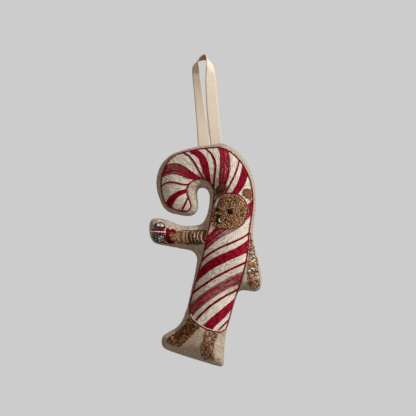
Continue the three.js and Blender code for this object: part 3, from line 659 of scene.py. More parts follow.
# Loose cloth under pressure, held at its rim and, less firmly, where it is embroidered.
def inflate(vertices, faces, hold):
    mesh = bpy.data.meshes.new("bodyCloth")
    mesh.from_pydata((vertices * pressure["scale"]).tolist(), [], faces.tolist())
    cloth = addObject("bodyCloth", mesh)
    group = cloth.vertex_groups.new(name="held")
    for level in np.unique(hold):
        group.add(np.nonzero(hold == level)[0].tolist(), float(level), "REPLACE")
    modifier = cloth.modifiers.new("cloth", "CLOTH")
    for key, value in pressure["settings"].items():
        setattr(modifier.settings, key, value)
    modifier.settings.effector_weights.gravity = 0
    modifier.point_cache.frame_end = pressure["frames"]
    for moment in range(1, pressure["frames"] + 1):
        bpy.context.scene.frame_set(moment)
    shaped, _ = meshArrays(cloth.evaluated_get(bpy.context.evaluated_depsgraph_get()).data)
    bpy.context.scene.frame_set(1)
    bpy.data.objects.remove(cloth)
    moved = shaped / pressure["scale"] - vertices
    far = np.linalg.norm(moved, axis=1)[:, None]
    return vertices + moved * np.minimum(1, pressure["cap"] / np.maximum(far, 1e-9))


# For each plan point: its distance from the rim, the rim's length up to the nearest place on it,
# and the direction to that place. Last, the rim's whole length.
def nearRim(rim, plan):
    line = closed(rim)
    fine = resample(line, round(lengths(line)[-1] / body["rimFine"]))
    nearest = np.concatenate([
        np.linalg.norm(part[:, None] - fine[None], axis=2).argmin(axis=1) for part in np.array_split(plan, 20)
    ])
    toward = fine[nearest] - plan
    away = np.linalg.norm(toward, axis=1)
    return away, lengths(fine)[nearest], toward / np.maximum(away, 1e-9)[:, None], lengths(fine)[-1]


# Gathers along the seam: waves over the length s of the rim, deepest a little way in from it,
# depth d / reach exp(1 - d / reach) (1 + sin(2 pi s / length + drift)) / 2
def puckers(away, place, whole):
    pucker = {"depth": 0.3 * mm, "length": 6.5 * mm, "reach": 3.2 * mm, "drift": 2.5, "turns": (4, 5)}
    waves = draws(40).uniform(0.6, 1.4, 3)
    turn = 2 * np.pi * place / whole
    first, more = pucker["turns"]
    drift = sum(pucker["drift"] * np.sin(turn * (first + more * k) + 6 * wave) for k, wave in enumerate(waves))
    wave = 0.5 + 0.5 * np.sin(2 * np.pi * place / pucker["length"] + drift)
    share = away / pucker["reach"]
    return pucker["depth"] * share * np.exp(1 - share) * wave


# UV in mm, with the plan moved out on the side walls so that the weave keeps its size there:
# share w log(1 + exp((wall - depth) / w)), toward the rim
def unrolled(plan, outward, depth):
    soft = body["wallSoftness"]
    shift = body["wallShare"] * soft * np.log1p(np.exp((body["wall"] - depth) / soft))
    return (plan + outward * shift[:, None]) / mm


# Two sheets over one net as a closed form: its points, its triangles, and where each point of the
# net lies in the sheet behind, which shares the rim.
def doubled(front, back, faces, isRim):
    behind = np.arange(len(front))
    behind[~isRim] = len(front) + np.arange(np.sum(~isRim))
    return np.vstack([front, back[~isRim]]), np.vstack([faces, behind[faces[:, ::-1]]]), behind


# Front and back panels, with what lies between them.
def buildBody():
    rim, plan, faces, isRim, inset = panelNet()
    crown = softDistance(plan, rim) ** body["crownPower"]
    crown[isRim] = 0
    crown /= crown.max()
    frontDepth = -bodyLow[1] - body["rimDepth"]
    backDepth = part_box("back_panel")[1].y - body["rimDepth"]
    edge = np.minimum(1, crown * body["rimSteepness"]) * body["rimDepth"]
    full = crown * frontDepth * body["backShare"]
    soft = body["backSoftness"]
    flat = -soft * np.log(np.exp(-full / soft) + np.exp(-backDepth / soft))
    flat -= flat[isRim].max()
    front, back = placed(plan, -(crown * frontDepth + edge)), placed(plan, flat + edge)
    vertices, allFaces, behind = doubled(front, back, faces, isRim)
    held = body["held"]
    stitched = Plan.inside(Plan.grown(footprint("cane_fill"), body["stitchedMargin"]), plan)
    hold = np.where(isRim, held["rim"], np.where(stitched, held["stitched"], held["front"]))
    vertices = inflate(vertices, allFaces, np.concatenate([hold, np.full(np.sum(~isRim), held["back"])]))

    away, place, outward, whole = nearRim(rim, plan)
    outward[isRim] = (plan - inset)[isRim] / body["rimInset"]
    depth = puckers(away, place, whole)
    vertices[:len(plan), 1] += depth
    vertices[behind[~isRim], 1] -= depth[~isRim]
    panels = vertices[:len(plan)], vertices[behind]
    buildInside(inset, faces, isRim, *panels)
    made = []
    for name, node, side, points in zip(("linenFront", "linenBack"), ("front_panel", "back_panel"), (-1, 1), panels):
        uv = unrolled(plan, outward, side * points[:, 1])
        if side > 0:
            uv += body["backShift"]
        points = points.copy()
        points[isRim, 1] = side * body["seamGap"]
        piece = meshPiece(name, points, faces[:, ::-side], "linen", uv)
        thicken(piece, body["sheetThickness"])
        smooth = piece.modifiers.new("smooth", "SUBSURF")
        smooth.levels = smooth.render_levels = 1
        final = bpy.data.meshes.new_from_object(piece.evaluated_get(bpy.context.evaluated_depsgraph_get()))
        piece.modifiers.clear()
        piece.data = final
        settle(piece, "linen", node)
        made.append(piece)
    print("linen", *(len(piece.data.vertices) for piece in made))
    return rim, made[0]


# A panel's depths drawn in: the least depth among each point's neighbours in the net, less a gap.
def drawnIn(depth, faces, gap):
    least = depth.copy()
    for here in range(3):
        for there in range(3):
            np.minimum.at(least, faces[:, here], depth[faces[:, there]])
    return least - gap


# The fibre filling, which keeps clear of both panels, and the cloth behind the embroidery.
def buildInside(plan, faces, isRim, front, back):
    inside = {"fillingGap": 1.1 * mm, "backingGap": 0.6 * mm, "backingThickness": 0.2 * mm, "thinnest": 0.03 * mm}
    sheets = []
    for side, panel in ((-1, front), (1, back)):
        depth = np.maximum(drawnIn(side * panel[:, 1], faces, inside["fillingGap"]), inside["thinnest"])
        sheets.append(placed(plan, np.where(isRim, 0, side * depth)))
    pad = meshPiece("fibreFilling", *doubled(*sheets, faces, isRim)[:2], "filling")
    settle(pad, "fibre_fill", "stuffing")

    kept = faces[Plan.inside(footprint("embroidery_backing"), plan)[faces].all(axis=1)]
    used, compact = np.unique(kept, return_inverse=True)
    sheet = front[used]
    sheet[:, 1] = -drawnIn(-front[:, 1], faces, inside["backingGap"])[used]
    backing = meshPiece("backingCloth", sheet, compact.reshape(-1, 3), "backing")
    thicken(backing, inside["backingThickness"])
    settle(backing, "backing_cloth", "embroidery_backing")
    print("inside", len(pad.data.vertices), len(sheet))


rim, linenFront = buildBody()


# The front's heights on an even grid, read between its points.
class Surface:

    step = 0.5 * mm
    low = Plan.low
    shape = tuple(np.ceil(np.array(Plan.shape) * Plan.cell / step).astype(int) + 1)

    def __init__(self, piece):
        tree = BVHTree.FromObject(piece, bpy.context.evaluated_depsgraph_get())
        heights = np.zeros(self.shape)
        for i, k in np.ndindex(*self.shape):
            start = Vector((self.low[0] + i * self.step, -0.1, self.low[1] + k * self.step))
            hit = tree.ray_cast(start, Vector((0, 1, 0)), 0.1)[0]
            heights[i, k] = hit.y if hit else 0
        self.grids = np.stack([heights, *np.gradient(heights, self.step)], axis=-1)

    # Places on the surface and outward normals for plan points of any shape.
    def at(self, points):
        place = np.clip((points - self.low) / self.step, 0, np.array(self.shape) - 1.001)
        whole = place.astype(int)
        i, k = whole[..., 0], whole[..., 1]
        u, v = (place - whole)[..., :1], (place - whole)[..., 1:]
        found = (
            self.grids[i, k] * (1 - u) * (1 - v) + self.grids[i + 1, k] * u * (1 - v)
            + self.grids[i, k + 1] * (1 - u) * v + self.grids[i + 1, k + 1] * u * v
        )
        return placed(points, found[..., 0]), unit(placed(found[..., 1:], -np.ones(found.shape[:-1])))


surface = Surface(linenFront)
print("surface", surface.shape)


# Stitches

# What a stitch has unless its look says otherwise.
plainStitch = {"dive": 0.35 * mm, "pinch": 0.45, "fullness": 6, "shade": 1, "sides": 3, "tone": (0.5, 0.16)}
plainCord = {"tone": (0.48, 0.18)}
plainSatin = {"pitch": 0.3 * mm, "rise": 0.35 * mm, "tone": (0.5, 0.15)}


# Vertices, faces, uv and attributes of stitches laid on the front. paths holds plan points, one
# row to a stitch. Each stitch is an arch over its line, low and narrow where it enters the cloth.
def stitchMesh(paths, look, rng):
    look = plainStitch | look
    spot, normal = surface.at(np.asarray(paths, float))
    count, steps = spot.shape[:2]
    sides = look["sides"]
    lift = np.broadcast_to(np.asarray(look["lift"], float), (count,))[:, None, None]
    along = unit(np.gradient(spot, axis=1))
    side = np.cross(along, normal)
    held = (np.abs(np.linspace(-1, 1, steps)) ** look["fullness"])[None, :, None]
    centre = spot + normal * (lift - look["dive"] * held)
    angle = np.linspace(0, math.pi, sides + 1)
    flat = side[:, :, None] * (np.cos(angle) * look["width"] / 2)[None, None, :, None]
    arch = normal[:, :, None] * (np.sin(angle) * look["rise"])[None, None, :, None]
    points = centre[:, :, None] + (flat + arch) * (1 - look["pinch"] * held)[:, :, None]
    index = np.arange(count * steps * (sides + 1)).reshape(count, steps, sides + 1)
    faces = np.stack([index[:, :-1, :-1], index[:, 1:, :-1], index[:, 1:, 1:], index[:, :-1, 1:]], axis=-1)
    reach = np.linalg.norm(np.diff(spot, axis=1), axis=2).cumsum(axis=1) / mm
    reach = np.concatenate([np.zeros((count, 1)), reach], axis=1) + rng.uniform(0, 9, (count, 1))
    uv = paired(reach[:, :, None], np.linspace(0, 1, sides + 1))
    tones = np.clip(rng.normal(*look["tone"], count), 0, 1)
    # dive is painted shade, strongest at the ends of a stitch, where it enters the cloth.
    values = {"tone": tones[:, None, None], "dive": look["shade"] * held}
    values = {key: np.broadcast_to(value, points.shape[:3]).ravel() for key, value in values.items()}
    return points.reshape(-1, 3), faces.reshape(-1, 4), uv.reshape(-1, 2), values


# Several stitch meshes as one piece, which stands for these nodes.
def stitchPiece(name, parts, material, *replaced):
    points, quads, uvs, values = zip(*parts)
    starts = np.cumsum([0, *(len(part) for part in points[:-1])])
    faces = np.vstack([part + start for part, start in zip(quads, starts)])
    joined = {key: np.concatenate([value[key] for value in values]) for key in ("tone", "dive")}
    piece = meshPiece(name, np.vstack(points), faces, material, np.vstack(uvs), joined)
    return settle(piece, threads[material][0], *replaced)


# The node's front faces, made finer and laid on the front: what shows between stitches. dive paints
# shade over all of it. Each triangle becomes three quads, by points in its middle and in the
# middles of its edges.
def groundCloth(node, lift, tone, cuts=2, dive=0.0):
    form = frontFaces(node)
    bmesh.ops.triangulate(form, faces=form.faces[:])
    bmesh.ops.subdivide_edges(form, edges=form.edges[:], cuts=cuts, use_grid_fill=True)
    bmesh.ops.triangulate(form, faces=form.faces[:])
    mesh = bpy.data.meshes.new("ground")
    form.to_mesh(mesh)
    form.free()
    vertices, faces = meshArrays(mesh)
    bpy.data.meshes.remove(mesh)
    plan = vertices[:, [0, 2]]
    spot, normal = surface.at(plan)
    faces = orient(plan, faces)
    corners = faces.T
    added = len(plan) + np.arange(4 * len(faces)).reshape(4, -1)
    quads = np.vstack([
        np.stack([corners[k], added[k], added[3], added[(k + 2) % 3]], axis=1) for k in range(3)
    ])
    points, uv = (
        np.vstack([at, *((at[corners[k]] + at[corners[k - 2]]) / 2 for k in range(3)), at[faces].mean(axis=1)])
        for at in (spot + normal * lift, plan / mm)
    )
    return points, quads, uv, {"tone": np.full(len(points), tone), "dive": np.full(len(points), dive)}


# The stretches of a fine plan line that lie in a region.
def runsInside(region, line):
    return [line[start:end] for start, end in stretches(Plan.inside(region, line)) if end - start > 2]


# Parallel lines over a region, at an angle in the front view, each with its row's number.
def straightLines(region, angle, pitch):
    cells = Plan.centres(region)
    along = heading(angle)
    across = np.array([-along[1], along[0]])
    s, t = cells @ along, cells @ across
    places = np.arange(s.min(), s.max(), Plan.cell)[:, None]
    first = math.ceil(t.min() / pitch)
    return [(row, places * along + row * pitch * across) for row in range(first, int(t.max() / pitch) + 1)]


# A stripe's middle, its directions along and across, and a cubic in s for each of its two edges. An
# edge counts only where it runs along the stripe: its steep places are the slanted ends.
def stripeFrame(region):
    fit = {"bins": 40, "steepest": 0.45, "thin": 2.5 * mm, "short": 16 * mm, "fewest": 15}
    cells = Plan.centres(region)
    middle = cells.mean(axis=0)
    across, along = np.linalg.eigh(np.cov((cells - middle).T))[1].T
    s, t = (cells - middle) @ along, (cells - middle) @ across
    bins = np.linspace(s.min(), s.max(), fit["bins"] + 1)
    which = np.digitize(s, bins) - 1
    used = np.array([k for k in range(1, fit["bins"] - 1) if np.any(which == k)])
    places = (bins[used] + bins[used + 1]) / 2
    found = np.array([[take(t[which == k]) for k in used] for take in (np.min, np.max)])
    slopes = np.gradient(found, places, axis=1)
    kept = np.abs(slopes - np.median(slopes, axis=1, keepdims=True)) < fit["steepest"]
    if np.median(found[1] - found[0]) < fit["thin"]:
        kept[:] = kept.all(axis=0)
    bends = 1 if np.ptp(s) < fit["short"] else 3
    edges = [
        np.polyfit(places[k], edge[k], bends if k.sum() > fit["fewest"] else 1) for k, edge in zip(kept, found)
    ]
    return middle, along, across, edges, (s.min(), s.max())


# Lines that follow a stripe, evenly spaced between its two edges, and run on past its ends.
def stripeLines(region, look, rng):
    middle, along, across, (low, high), (start, end) = stripeFrame(region)
    places = np.arange(start - look["runsOn"], end + look["runsOn"], Plan.cell)
    lower, upper = np.polyval(low, places), np.polyval(high, places)
    if look["even"]:
        half = np.median(upper - lower) / 2
        lower, upper = (lower + upper) / 2 - half, (lower + upper) / 2 + half
    lower, upper = lower - look["wider"] / 2, upper + look["wider"] / 2
    rows = max(2, round(float(np.median(upper - lower)) / look["pitch"]))
    lines = []
    for row in range(rows):
        share = (row + 0.5 + rng.uniform(-look["wander"], look["wander"])) / rows
        t = lower * (1 - share) + upper * share
        lines.append(middle + places[:, None] * along + t[:, None] * across)
    return lines


# A line cut into stitches of about that length, each given as the same number of points.
def cutLine(line, length, phase, steps=7, shortest=0.35):
    total = lengths(line)[-1]
    cuts = np.arange((phase % 1) * length, total, length)
    cuts = cuts[(cuts > shortest * length) & (cuts < total - shortest * length)]
    ends = np.concatenate([[0], cuts, [total]])
    share = 0.5 * (1 - np.cos(np.linspace(0, math.pi, steps)))
    return list(pointsAt(line, ends[:-1, None] + np.diff(ends)[:, None] * share))


# Running stitches along lines side by side, each begun half a stitch after the one before.
def cord(lines, look, rng):
    look = plainCord | look
    parts = []
    for strand, line in enumerate(lines):
        fine = resample(line, max(8, round(lengths(line)[-1] / Plan.cell)))
        parts.append(stitchMesh(cutLine(fine, look["stitch"], 0.5 * strand), look, rng))
    return parts


# Long stitches side by side from edge to edge of a region.
def satin(region, look, rng):
    look = plainSatin | look
    lines = straightLines(region, look["angle"], look["pitch"])
    stitches = [resample(run, 7) for _, line in lines for run in runsInside(region, line)]
    return stitchMesh(stitches, look | {"width": 1.4 * look["pitch"]}, rng)


# Curled stitches over a region: arcs about the points of a loosened triangular grid, whose radius
# shrinks as they turn.
def curls(region, look, rng):
    curl = {"loose": 0.4, "steps": 13, "closing": 0.3, "squeeze": (0.7, 1.0), "fullness": 10, "sides": 4}
    cells = Plan.centres(region)
    centres = staggered(cells.min(axis=0), cells.max(axis=0), look["spacing"])
    centres += rng.uniform(-curl["loose"], curl["loose"], centres.shape) * look["spacing"]
    centres = centres[Plan.inside(region, centres)]
    each = (len(centres), 1)
    share = np.linspace(0, 1, curl["steps"])[None, :]
    start = rng.uniform(0, 2 * math.pi, each)
    way = rng.choice([-1.0, 1.0], each)
    size = rng.uniform(*look["radius"], each) * (1 - curl["closing"] * share)
    angle = start + way * 2 * math.pi * rng.uniform(*look["turns"], each) * share
    squeeze = rng.uniform(*curl["squeeze"], each)
    paths = centres[:, None] + np.stack([size * np.cos(angle), size * squeeze * np.sin(angle)], axis=-1)
    lift = look["lift"] + rng.uniform(0, look["layers"], len(paths))
    return stitchMesh(paths, look | {"lift": lift, "fullness": curl["fullness"], "sides": curl["sides"]}, rng)


# Short stitches across an edge, from outside it to inside, a little slanted.
def edgeStitches(node, edge, rng):
    loop = smoothClosed(outlineOf(node), edge["spacing"])
    along, out = directionsOf(loop)
    deep = edge["inner"] * rng.uniform(0.7, 1.2, (len(loop), 1))
    start = (loop + out * edge["outer"])[:, None]
    end = (loop - out * deep + along * edge["slant"])[:, None]
    return start + (end - start) * np.linspace(0, 1, 5)[None, :, None]


# A patch of curled stitches. look gives their sizes and heights, and those of the ground under them.
def curlPatch(name, node, material, look, number, extra=(), region=None):
    rng = draws(number)
    region = footprint(node) if region is None else region
    parts = [curls(Plan.grown(region, -look["margin"]), look, rng), *extra]
    if "ground" in look:
        parts.append(groundCloth(node, look["ground"], look["groundTone"]))
    if "edge" in look:
        parts.append(stitchMesh(edgeStitches(node, look["edge"], rng), look, rng))
    stitchPiece(name, parts, material, node)


# The cane: a cream filling in short rows, red stripes over it, and a corded outline

wideStripes = [name for name in nodes if name.startswith("wide_stripe")]
thinStripes = [name for name in nodes if name.startswith("thin_stripe")]
numberOf = {name: int(name.split("_")[2]) for name in wideStripes + thinStripes}
openNumbers = (2, 4, 6, 8)
feet = {name: footprint(name) for name in numberOf}
caneRegion = footprint("cane_fill")
headRegion = footprint("head")
headMiddle = Plan.centres(headRegion).mean(axis=0)


# The filling's cells by band, each lying between two wide stripes, and each band's angle.
def caneBands(region):
    cells = Plan.centres(region)
    middles, directions = [], []
    for number in range(1, 10):
        union = np.logical_or.reduce([feet[name] for name in wideStripes if numberOf[name] == number])
        middle, along, across, (low, high), (start, end) = stripeFrame(union)
        places = np.linspace(start, end, 9)
        t = (np.polyval(low, places) + np.polyval(high, places)) / 2
        middles.append(middle + places[:, None] * along + t[:, None] * across)
        directions.append(along)
    ahead = np.gradient(np.array([line.mean(axis=0) for line in middles]), axis=0)
    distances = [np.linalg.norm(cells[:, None] - line[None], axis=2) for line in middles]
    band = np.argmin([distance.min(axis=1) for distance in distances], axis=0)
    past = np.zeros(len(cells), int)
    for k, line in enumerate(middles):
        own = band == k
        closest = line[distances[k][own].argmin(axis=1)]
        across = np.array([-directions[k][1], directions[k][0]])
        across *= np.sign(across @ ahead[k])
        past[own] = (cells[own] - closest) @ across > 0
    band += past
    bands = []
    for k in range(len(middles) + 1):
        one, other = directions[max(k - 1, 0)], directions[min(k, len(middles) - 1)]
        mean = one + other * (1 if one @ other > 0 else -1)
        mask = np.zeros(Plan.shape, bool)
        mask[tuple(np.argwhere(region)[band == k].T)] = True
        bands.append((mask, math.atan2(mean[1], mean[0])))
    return bands


# One row in three is short stitches that dive deep; the rows between are long and level.
def buildFilling():
    filling = {
        "pitch": 0.47 * mm, "width": 0.57 * mm, "lift": 0.24 * mm, "tone": (0.62, 0.13), "shortest": 0.2,
        "rowsTogether": 3, "unevenness": 0.06, "underStripes": 0.5 * mm, "underHead": 2 * mm,
    }
    # This ground is painted shade: the darkest cream, darkened more by dive, so that gaps look shaded.
    ground = {"lift": 0.1 * mm, "tone": 0.0, "dive": 0.6}
    # The dotted rows' ends carry painted shade at full strength; level rows carry a fifth of it (shade).
    styles = {
        "dotted": {"stitch": 1.8 * mm, "rise": 0.24 * mm, "dive": 0.55 * mm, "pinch": 0.95, "fullness": 2.2},
        "level": {"stitch": 4.2 * mm, "rise": 0.2 * mm, "dive": 0.1 * mm, "pinch": 0.1, "shade": 0.2},
    }
    rng = draws(0)
    covered = np.logical_or.reduce([feet[name] for name in wideStripes if numberOf[name] not in openNumbers])
    hidden = Plan.grown(covered, -filling["underStripes"]) | Plan.grown(headRegion, -filling["underHead"])
    rows = {kind: [] for kind in styles}
    for mask, angle in caneBands(caneRegion):
        along = heading(angle)
        region = mask & ~hidden
        if not region.any():
            continue
        for row, line in straightLines(region, angle, filling["pitch"]):
            group, place = divmod(row, filling["rowsTogether"])
            kind = "level" if place else "dotted"
            uneven = filling["unevenness"]
            phase = rng.uniform(0, 1) if place else 0.5 * (group % 2) + rng.uniform(-uneven, uneven)
            length = styles[kind]["stitch"]
            for run in runsInside(region, line):
                rows[kind] += cutLine(run, length, phase - (run[0] @ along) / length, 5, filling["shortest"])
    parts = [groundCloth("cane_fill", **ground)]
    parts += [stitchMesh(rows[kind], filling | style, rng) for kind, style in styles.items()]
    stitchPiece("creamFilling", parts, "creamThread", "cane_fill")
    print("creamFilling", sum(map(len, rows.values())), "stitches")


# Every second wide stripe is open: fewer rows that wander, so that the cream shows between.
def buildStripes():
    common = {"rise": 0.3 * mm, "lift": 0.44 * mm, "runsOn": 2 * mm, "even": False}
    styles = {
        "solid": {"pitch": 0.42 * mm, "width": 0.52 * mm, "wander": 0.12, "stitch": 2.6 * mm, "wider": 0.35 * mm,
                  "tone": (0.5, 0.2)},
        "open": {"pitch": 0.46 * mm, "width": 0.46 * mm, "wander": 0.34, "stitch": 9 * mm, "wider": 1.3 * mm,
                 "tone": (0.5, 0.2), "pinch": 0.15, "dive": 0.15 * mm},
        "thin": {"pitch": 0.45 * mm, "width": 0.56 * mm, "wander": 0.1, "stitch": 2.6 * mm, "wider": 0.2 * mm,
                 "tone": (0.42, 0.15), "pinch": 0.15, "dive": 0.15 * mm, "even": True},
    }
    upper = {"node": "wide_stripe_6_upper", "angle": math.radians(62), "past": 0.3 * mm}
    ground = {"lift": 0.38 * mm, "tone": 0.2, "cuts": 3}
    past, pastCane, rowShift = 1.2 * mm, 0.5 * mm, 0.37
    bound = Plan.grown(caneRegion, pastCane)
    rng = draws(1)
    for name in wideStripes + thinStripes:
        kind = "thin" if name in thinStripes else "open" if numberOf[name] in openNumbers else "solid"
        style = common | styles[kind]
        if name == upper["node"]:
            region = Plan.grown(feet[name], upper["past"]) & bound
            lines = [line for _, line in straightLines(region, upper["angle"], style["pitch"])]
        else:
            region = Plan.grown(feet[name], past) & bound
            lines = stripeLines(feet[name], style, rng)
        stitches = []
        for row, line in enumerate(lines):
            for run in runsInside(region, line):
                phase = rng.uniform(0, 1) if kind == "open" else row * rowShift
                stitches += cutLine(run, style["stitch"], phase)
        parts = [stitchMesh(stitches, style, rng)]
        if kind == "solid":
            parts.append(groundCloth(name, **ground))
        stitchPiece("red" + name.title().replace("_", ""), parts, "redThread", name)
    print("stripes", len(numberOf))


def buildCaneOutline():
    outline = {"step": 1 * mm, "fromFilling": 0.9 * mm, "spread": 0.2 * mm, "width": 0.5 * mm, "rise": 0.38 * mm,
               "lift": 0.3 * mm, "stitch": 2.4 * mm}
    hem = {"inside": 0.85 * mm, "height": 14 * mm, "across": 23 * mm, "lift": 0.75 * mm, "tone": (0.85, 0.1)}
    rng = draws(2)
    loop = offsetLoop(smoothClosed(outlineOf("cane_fill"), outline["step"]), outline["fromFilling"])
    strands = [closed(offsetLoop(loop, side * outline["spread"])) for side in (-1, 1)]
    stitchPiece("caneOutline", cord(strands, outline, rng), "redThread", "cane_outline")

    inner = offsetLoop(np.roll(loop, -int(loop[:, 1].argmax()), axis=0), -hem["inside"])
    inner = inner[inner[:, 1] < inner[:, 1].min() + hem["height"]]
    inner = inner[inner[:, 0] < inner[:, 0].min() + hem["across"]]
    stitchPiece("hemLine", cord([inner], outline | hem, rng), "creamThread")
    print("outline", len(loop))


buildFilling()
buildStripes()
buildCaneOutline()


# The dog's head, ears and face

# Where the hood's pale lining shows: a stretch of the head's rim, drawn in.
def crescentLine():
    crescent = {"step": 0.5 * mm, "inside": 0.45 * mm, "from": 124, "to": 163}  # degrees round the head
    line = offsetLoop(smoothClosed(outlineOf("head"), crescent["step"]), -crescent["inside"])
    turned = np.degrees(np.arctan2(*(line - headMiddle).T[::-1])) % 360
    chosen = (turned > crescent["from"]) & (turned < crescent["to"])
    return resample(line[chosen][np.argsort(turned[chosen])], 40)


# The hood's edge: the middle of its solid, found along rays from the middle of the head.
def buildHood():
    hood = {"width": 0.54 * mm, "rise": 0.4 * mm, "lift": 0.6 * mm, "stitch": 2.2 * mm, "tone": (0.42, 0.12),
            "spread": 0.21 * mm, "runsOn": 1.6, "rays": (-120, 240, 3), "reach": (8 * mm, 22 * mm, 0.1 * mm)}
    edge = {"width": 1.4 * mm, "rise": 0.45 * mm, "lift": 1.1 * mm, "stitch": 8 * mm, "tone": (0.9, 0.05)}
    rng = draws(3)
    region = footprint("hood_outline")
    reach = np.arange(*hood["reach"])
    line = []
    for angle in np.radians(np.arange(*hood["rays"])):
        ray = headMiddle + reach[:, None] * heading(angle)
        hit = Plan.inside(region, ray)
        line.append(ray[hit].mean(axis=0) if hit.sum() > 3 else np.full(2, np.nan))
    line = np.array(line)
    start, end = max(stretches(~np.isnan(line[:, 0])), key=lambda pair: pair[1] - pair[0])
    arc = line[start:end]
    arc = np.vstack([arc, arc[-1] + (arc[-1] - arc[-4]) * np.linspace(0.5, hood["runsOn"], 4)[:, None]])
    centred = arc - headMiddle
    away = np.linalg.norm(centred, axis=1)[:, None]
    strands = [headMiddle + centred * (1 + side * hood["spread"] / away) for side in (-1, 1)]
    stitchPiece("hoodOutline", cord(strands, hood, rng), "redThread", "hood_outline")
    stitchPiece("hoodEdge", cord([crescentLine()], edge, rng), "creamThread")
    print("hood", len(arc))


# How each part of the face departs from its solid, in mm, and the angle of its stitches.
faceMargin = 0.15 * mm
faceLooks = {
    "left_eye": {"name": "leftEyeSatin", "angle": 1.2, "shift": (1.0, -0.3), "tall": 0.4, "narrow": 0.2},
    "right_eye": {"name": "rightEyeSatin", "angle": 1.5, "shift": (0.2, 0), "tall": 0.45, "narrow": 0.2},
    "nose": {"name": "noseSatin", "angle": 0.2, "shift": (0.8, -0.7), "tall": 0, "narrow": 0},
}


def faceRegion(node):
    look = faceLooks[node]
    region = Plan.moved(footprint(node), np.array(look["shift"]) * mm)
    up, aside = np.array([0, look["tall"]]) * mm, np.array([look["narrow"], 0]) * mm
    region = Plan.moved(region, up) | region | Plan.moved(region, -up)
    region = Plan.moved(region, aside) & region & Plan.moved(region, -aside)
    return Plan.grown(region, faceMargin)


# From under the nose down, then round to the right.
def mouthLine():
    nose = Plan.centres(faceRegion("nose")).mean(axis=0)
    return nose + np.array([[-0.5, -0.9], [-0.5, -2.6], [-0.5, -4.1], [0.5, -5.3], [2.2, -5.7]]) * mm


def buildHead():
    curl = {
        "spacing": 0.7 * mm, "radius": (0.3 * mm, 0.56 * mm), "turns": (0.3, 0.75), "margin": 0.2 * mm,
        "width": 0.4 * mm, "rise": 0.28 * mm, "lift": 0.75 * mm, "layers": 0.55 * mm, "tone": (0.55, 0.27),
        "ground": 0.8 * mm, "groundTone": 0.22,
        "edge": {"spacing": 0.45 * mm, "inner": 1.1 * mm, "outer": 0.9 * mm, "slant": 0.3 * mm},
    }
    bare = {"face": 0.35 * mm, "lips": 0.65 * mm, "crescent": 0.8 * mm}
    face = Plan.grown(np.logical_or.reduce([faceRegion(node) for node in faceLooks]), bare["face"])
    lips = Plan.along(smoothOpen(mouthLine(), 60), bare["lips"])
    region = headRegion & ~face & ~lips & ~Plan.along(crescentLine(), bare["crescent"])
    curlPatch("curlyHead", "head", "furThread", curl, 4, region=region)
    print("head", int(region.sum()), "cells")


# Each ear's stitches reach a little past its solid, towards the seam of hood and cane.
def buildEars():
    short = {
        "spacing": 0.68 * mm, "radius": (0.3 * mm, 0.5 * mm), "turns": (0.25, 0.55), "margin": 0.2 * mm,
        "width": 0.38 * mm, "rise": 0.26 * mm, "lift": 0.7 * mm, "layers": 0.3 * mm, "tone": (0.48, 0.18),
    }
    below = {"lift": 0.45 * mm, "angle": 1.2, "tone": (0.3, 0.06)}
    besideHead = 1.1 * mm
    ears = {
        "left_ear": ("leftEarStitches", "darkEarThread", (-1.0, -1.4)),
        "right_ear": ("rightEarStitches", "goldenEarThread", (0.8, -0.4)),
    }
    hood = Plan.grown(headRegion, besideHead)
    for order, (node, (name, material, reach)) in enumerate(ears.items()):
        rng = draws(30 + order)
        own = footprint(node)
        region = np.logical_or.reduce([Plan.moved(own, np.array(reach) * share * mm) for share in (0, 0.5, 1)])
        region &= caneRegion & ~hood
        curlPatch(name, node, material, short, 5 + order, [satin(region, below, rng)], region)
    print("ears", len(ears))


def buildFace():
    high = {"lift": 1.5 * mm}
    lip = high | {"width": 0.85 * mm, "rise": 0.45 * mm, "stitch": 2.2 * mm}
    glint = high | {"width": 0.85 * mm, "rise": 0.4 * mm, "tone": (0.9, 0.0)}
    rng = draws(7)
    for node, look in faceLooks.items():
        part = satin(faceRegion(node), high | {"angle": look["angle"]}, rng)
        stitchPiece(look["name"], [part], "blackThread", node)
    mouth = mouthLine()
    parts = cord([smoothOpen(mouth, 30)], lip, rng)
    corner = mouth[2] + np.array([[-1.9, 0.4], [-0.9, 0.1], [-0.1, 0.2]]) * mm
    parts.append(stitchMesh([smoothOpen(corner, 7)], lip | {"width": 1.1 * mm}, rng))
    stitchPiece("mouthStitches", parts, "blackThread", "mouth")
    shine = mouth[0] + np.array([[1.35, -0.9], [1.15, -2.7], [1.8, -3.75], [3.0, -4.0]]) * mm
    stitchPiece("muzzleStitch", [stitchMesh([smoothOpen(shine, 12)], glint, rng)], "creamThread")
    print("face", len(faceLooks) + 2)


buildHood()
buildHead()
buildEars()
buildFace()


# Arms, legs and the parcel in the paw

# Arcs from edge to edge of an arm, bowed towards the paw: s = place + bow (1 - t^2), t from -1 to 1.
def crossArcs(region, look, rng):
    loose = {"place": 0.25, "reach": (0.72, 0.96), "shift": 0.12, "bow": (0.6, 1.2)}
    middle, along, across, (low, high), (start, end) = stripeFrame(region)
    bow = look["bow"] * np.sign(along @ np.array(look["towards"]))
    t = np.linspace(-1, 1, 11)
    arcs = []
    for place in np.arange(start + look["first"], end, look["spacing"]):
        place += rng.uniform(-loose["place"], loose["place"]) * look["spacing"]
        reach = rng.uniform(*loose["reach"])
        shift = rng.uniform(-loose["shift"], loose["shift"])
        s = place + bow * (1 - t**2) * rng.uniform(*loose["bow"])
        side = (shift + t * reach + 1) / 2
        cross = np.polyval(low, s) * (1 - side) + np.polyval(high, s) * side
        arcs.append(middle + s[:, None] * along + cross[:, None] * across)
    return np.array(arcs)


# The low and high corners of a node's box in plan.
def boxOf(node):
    return (np.array(corner)[[0, 2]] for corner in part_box(node))


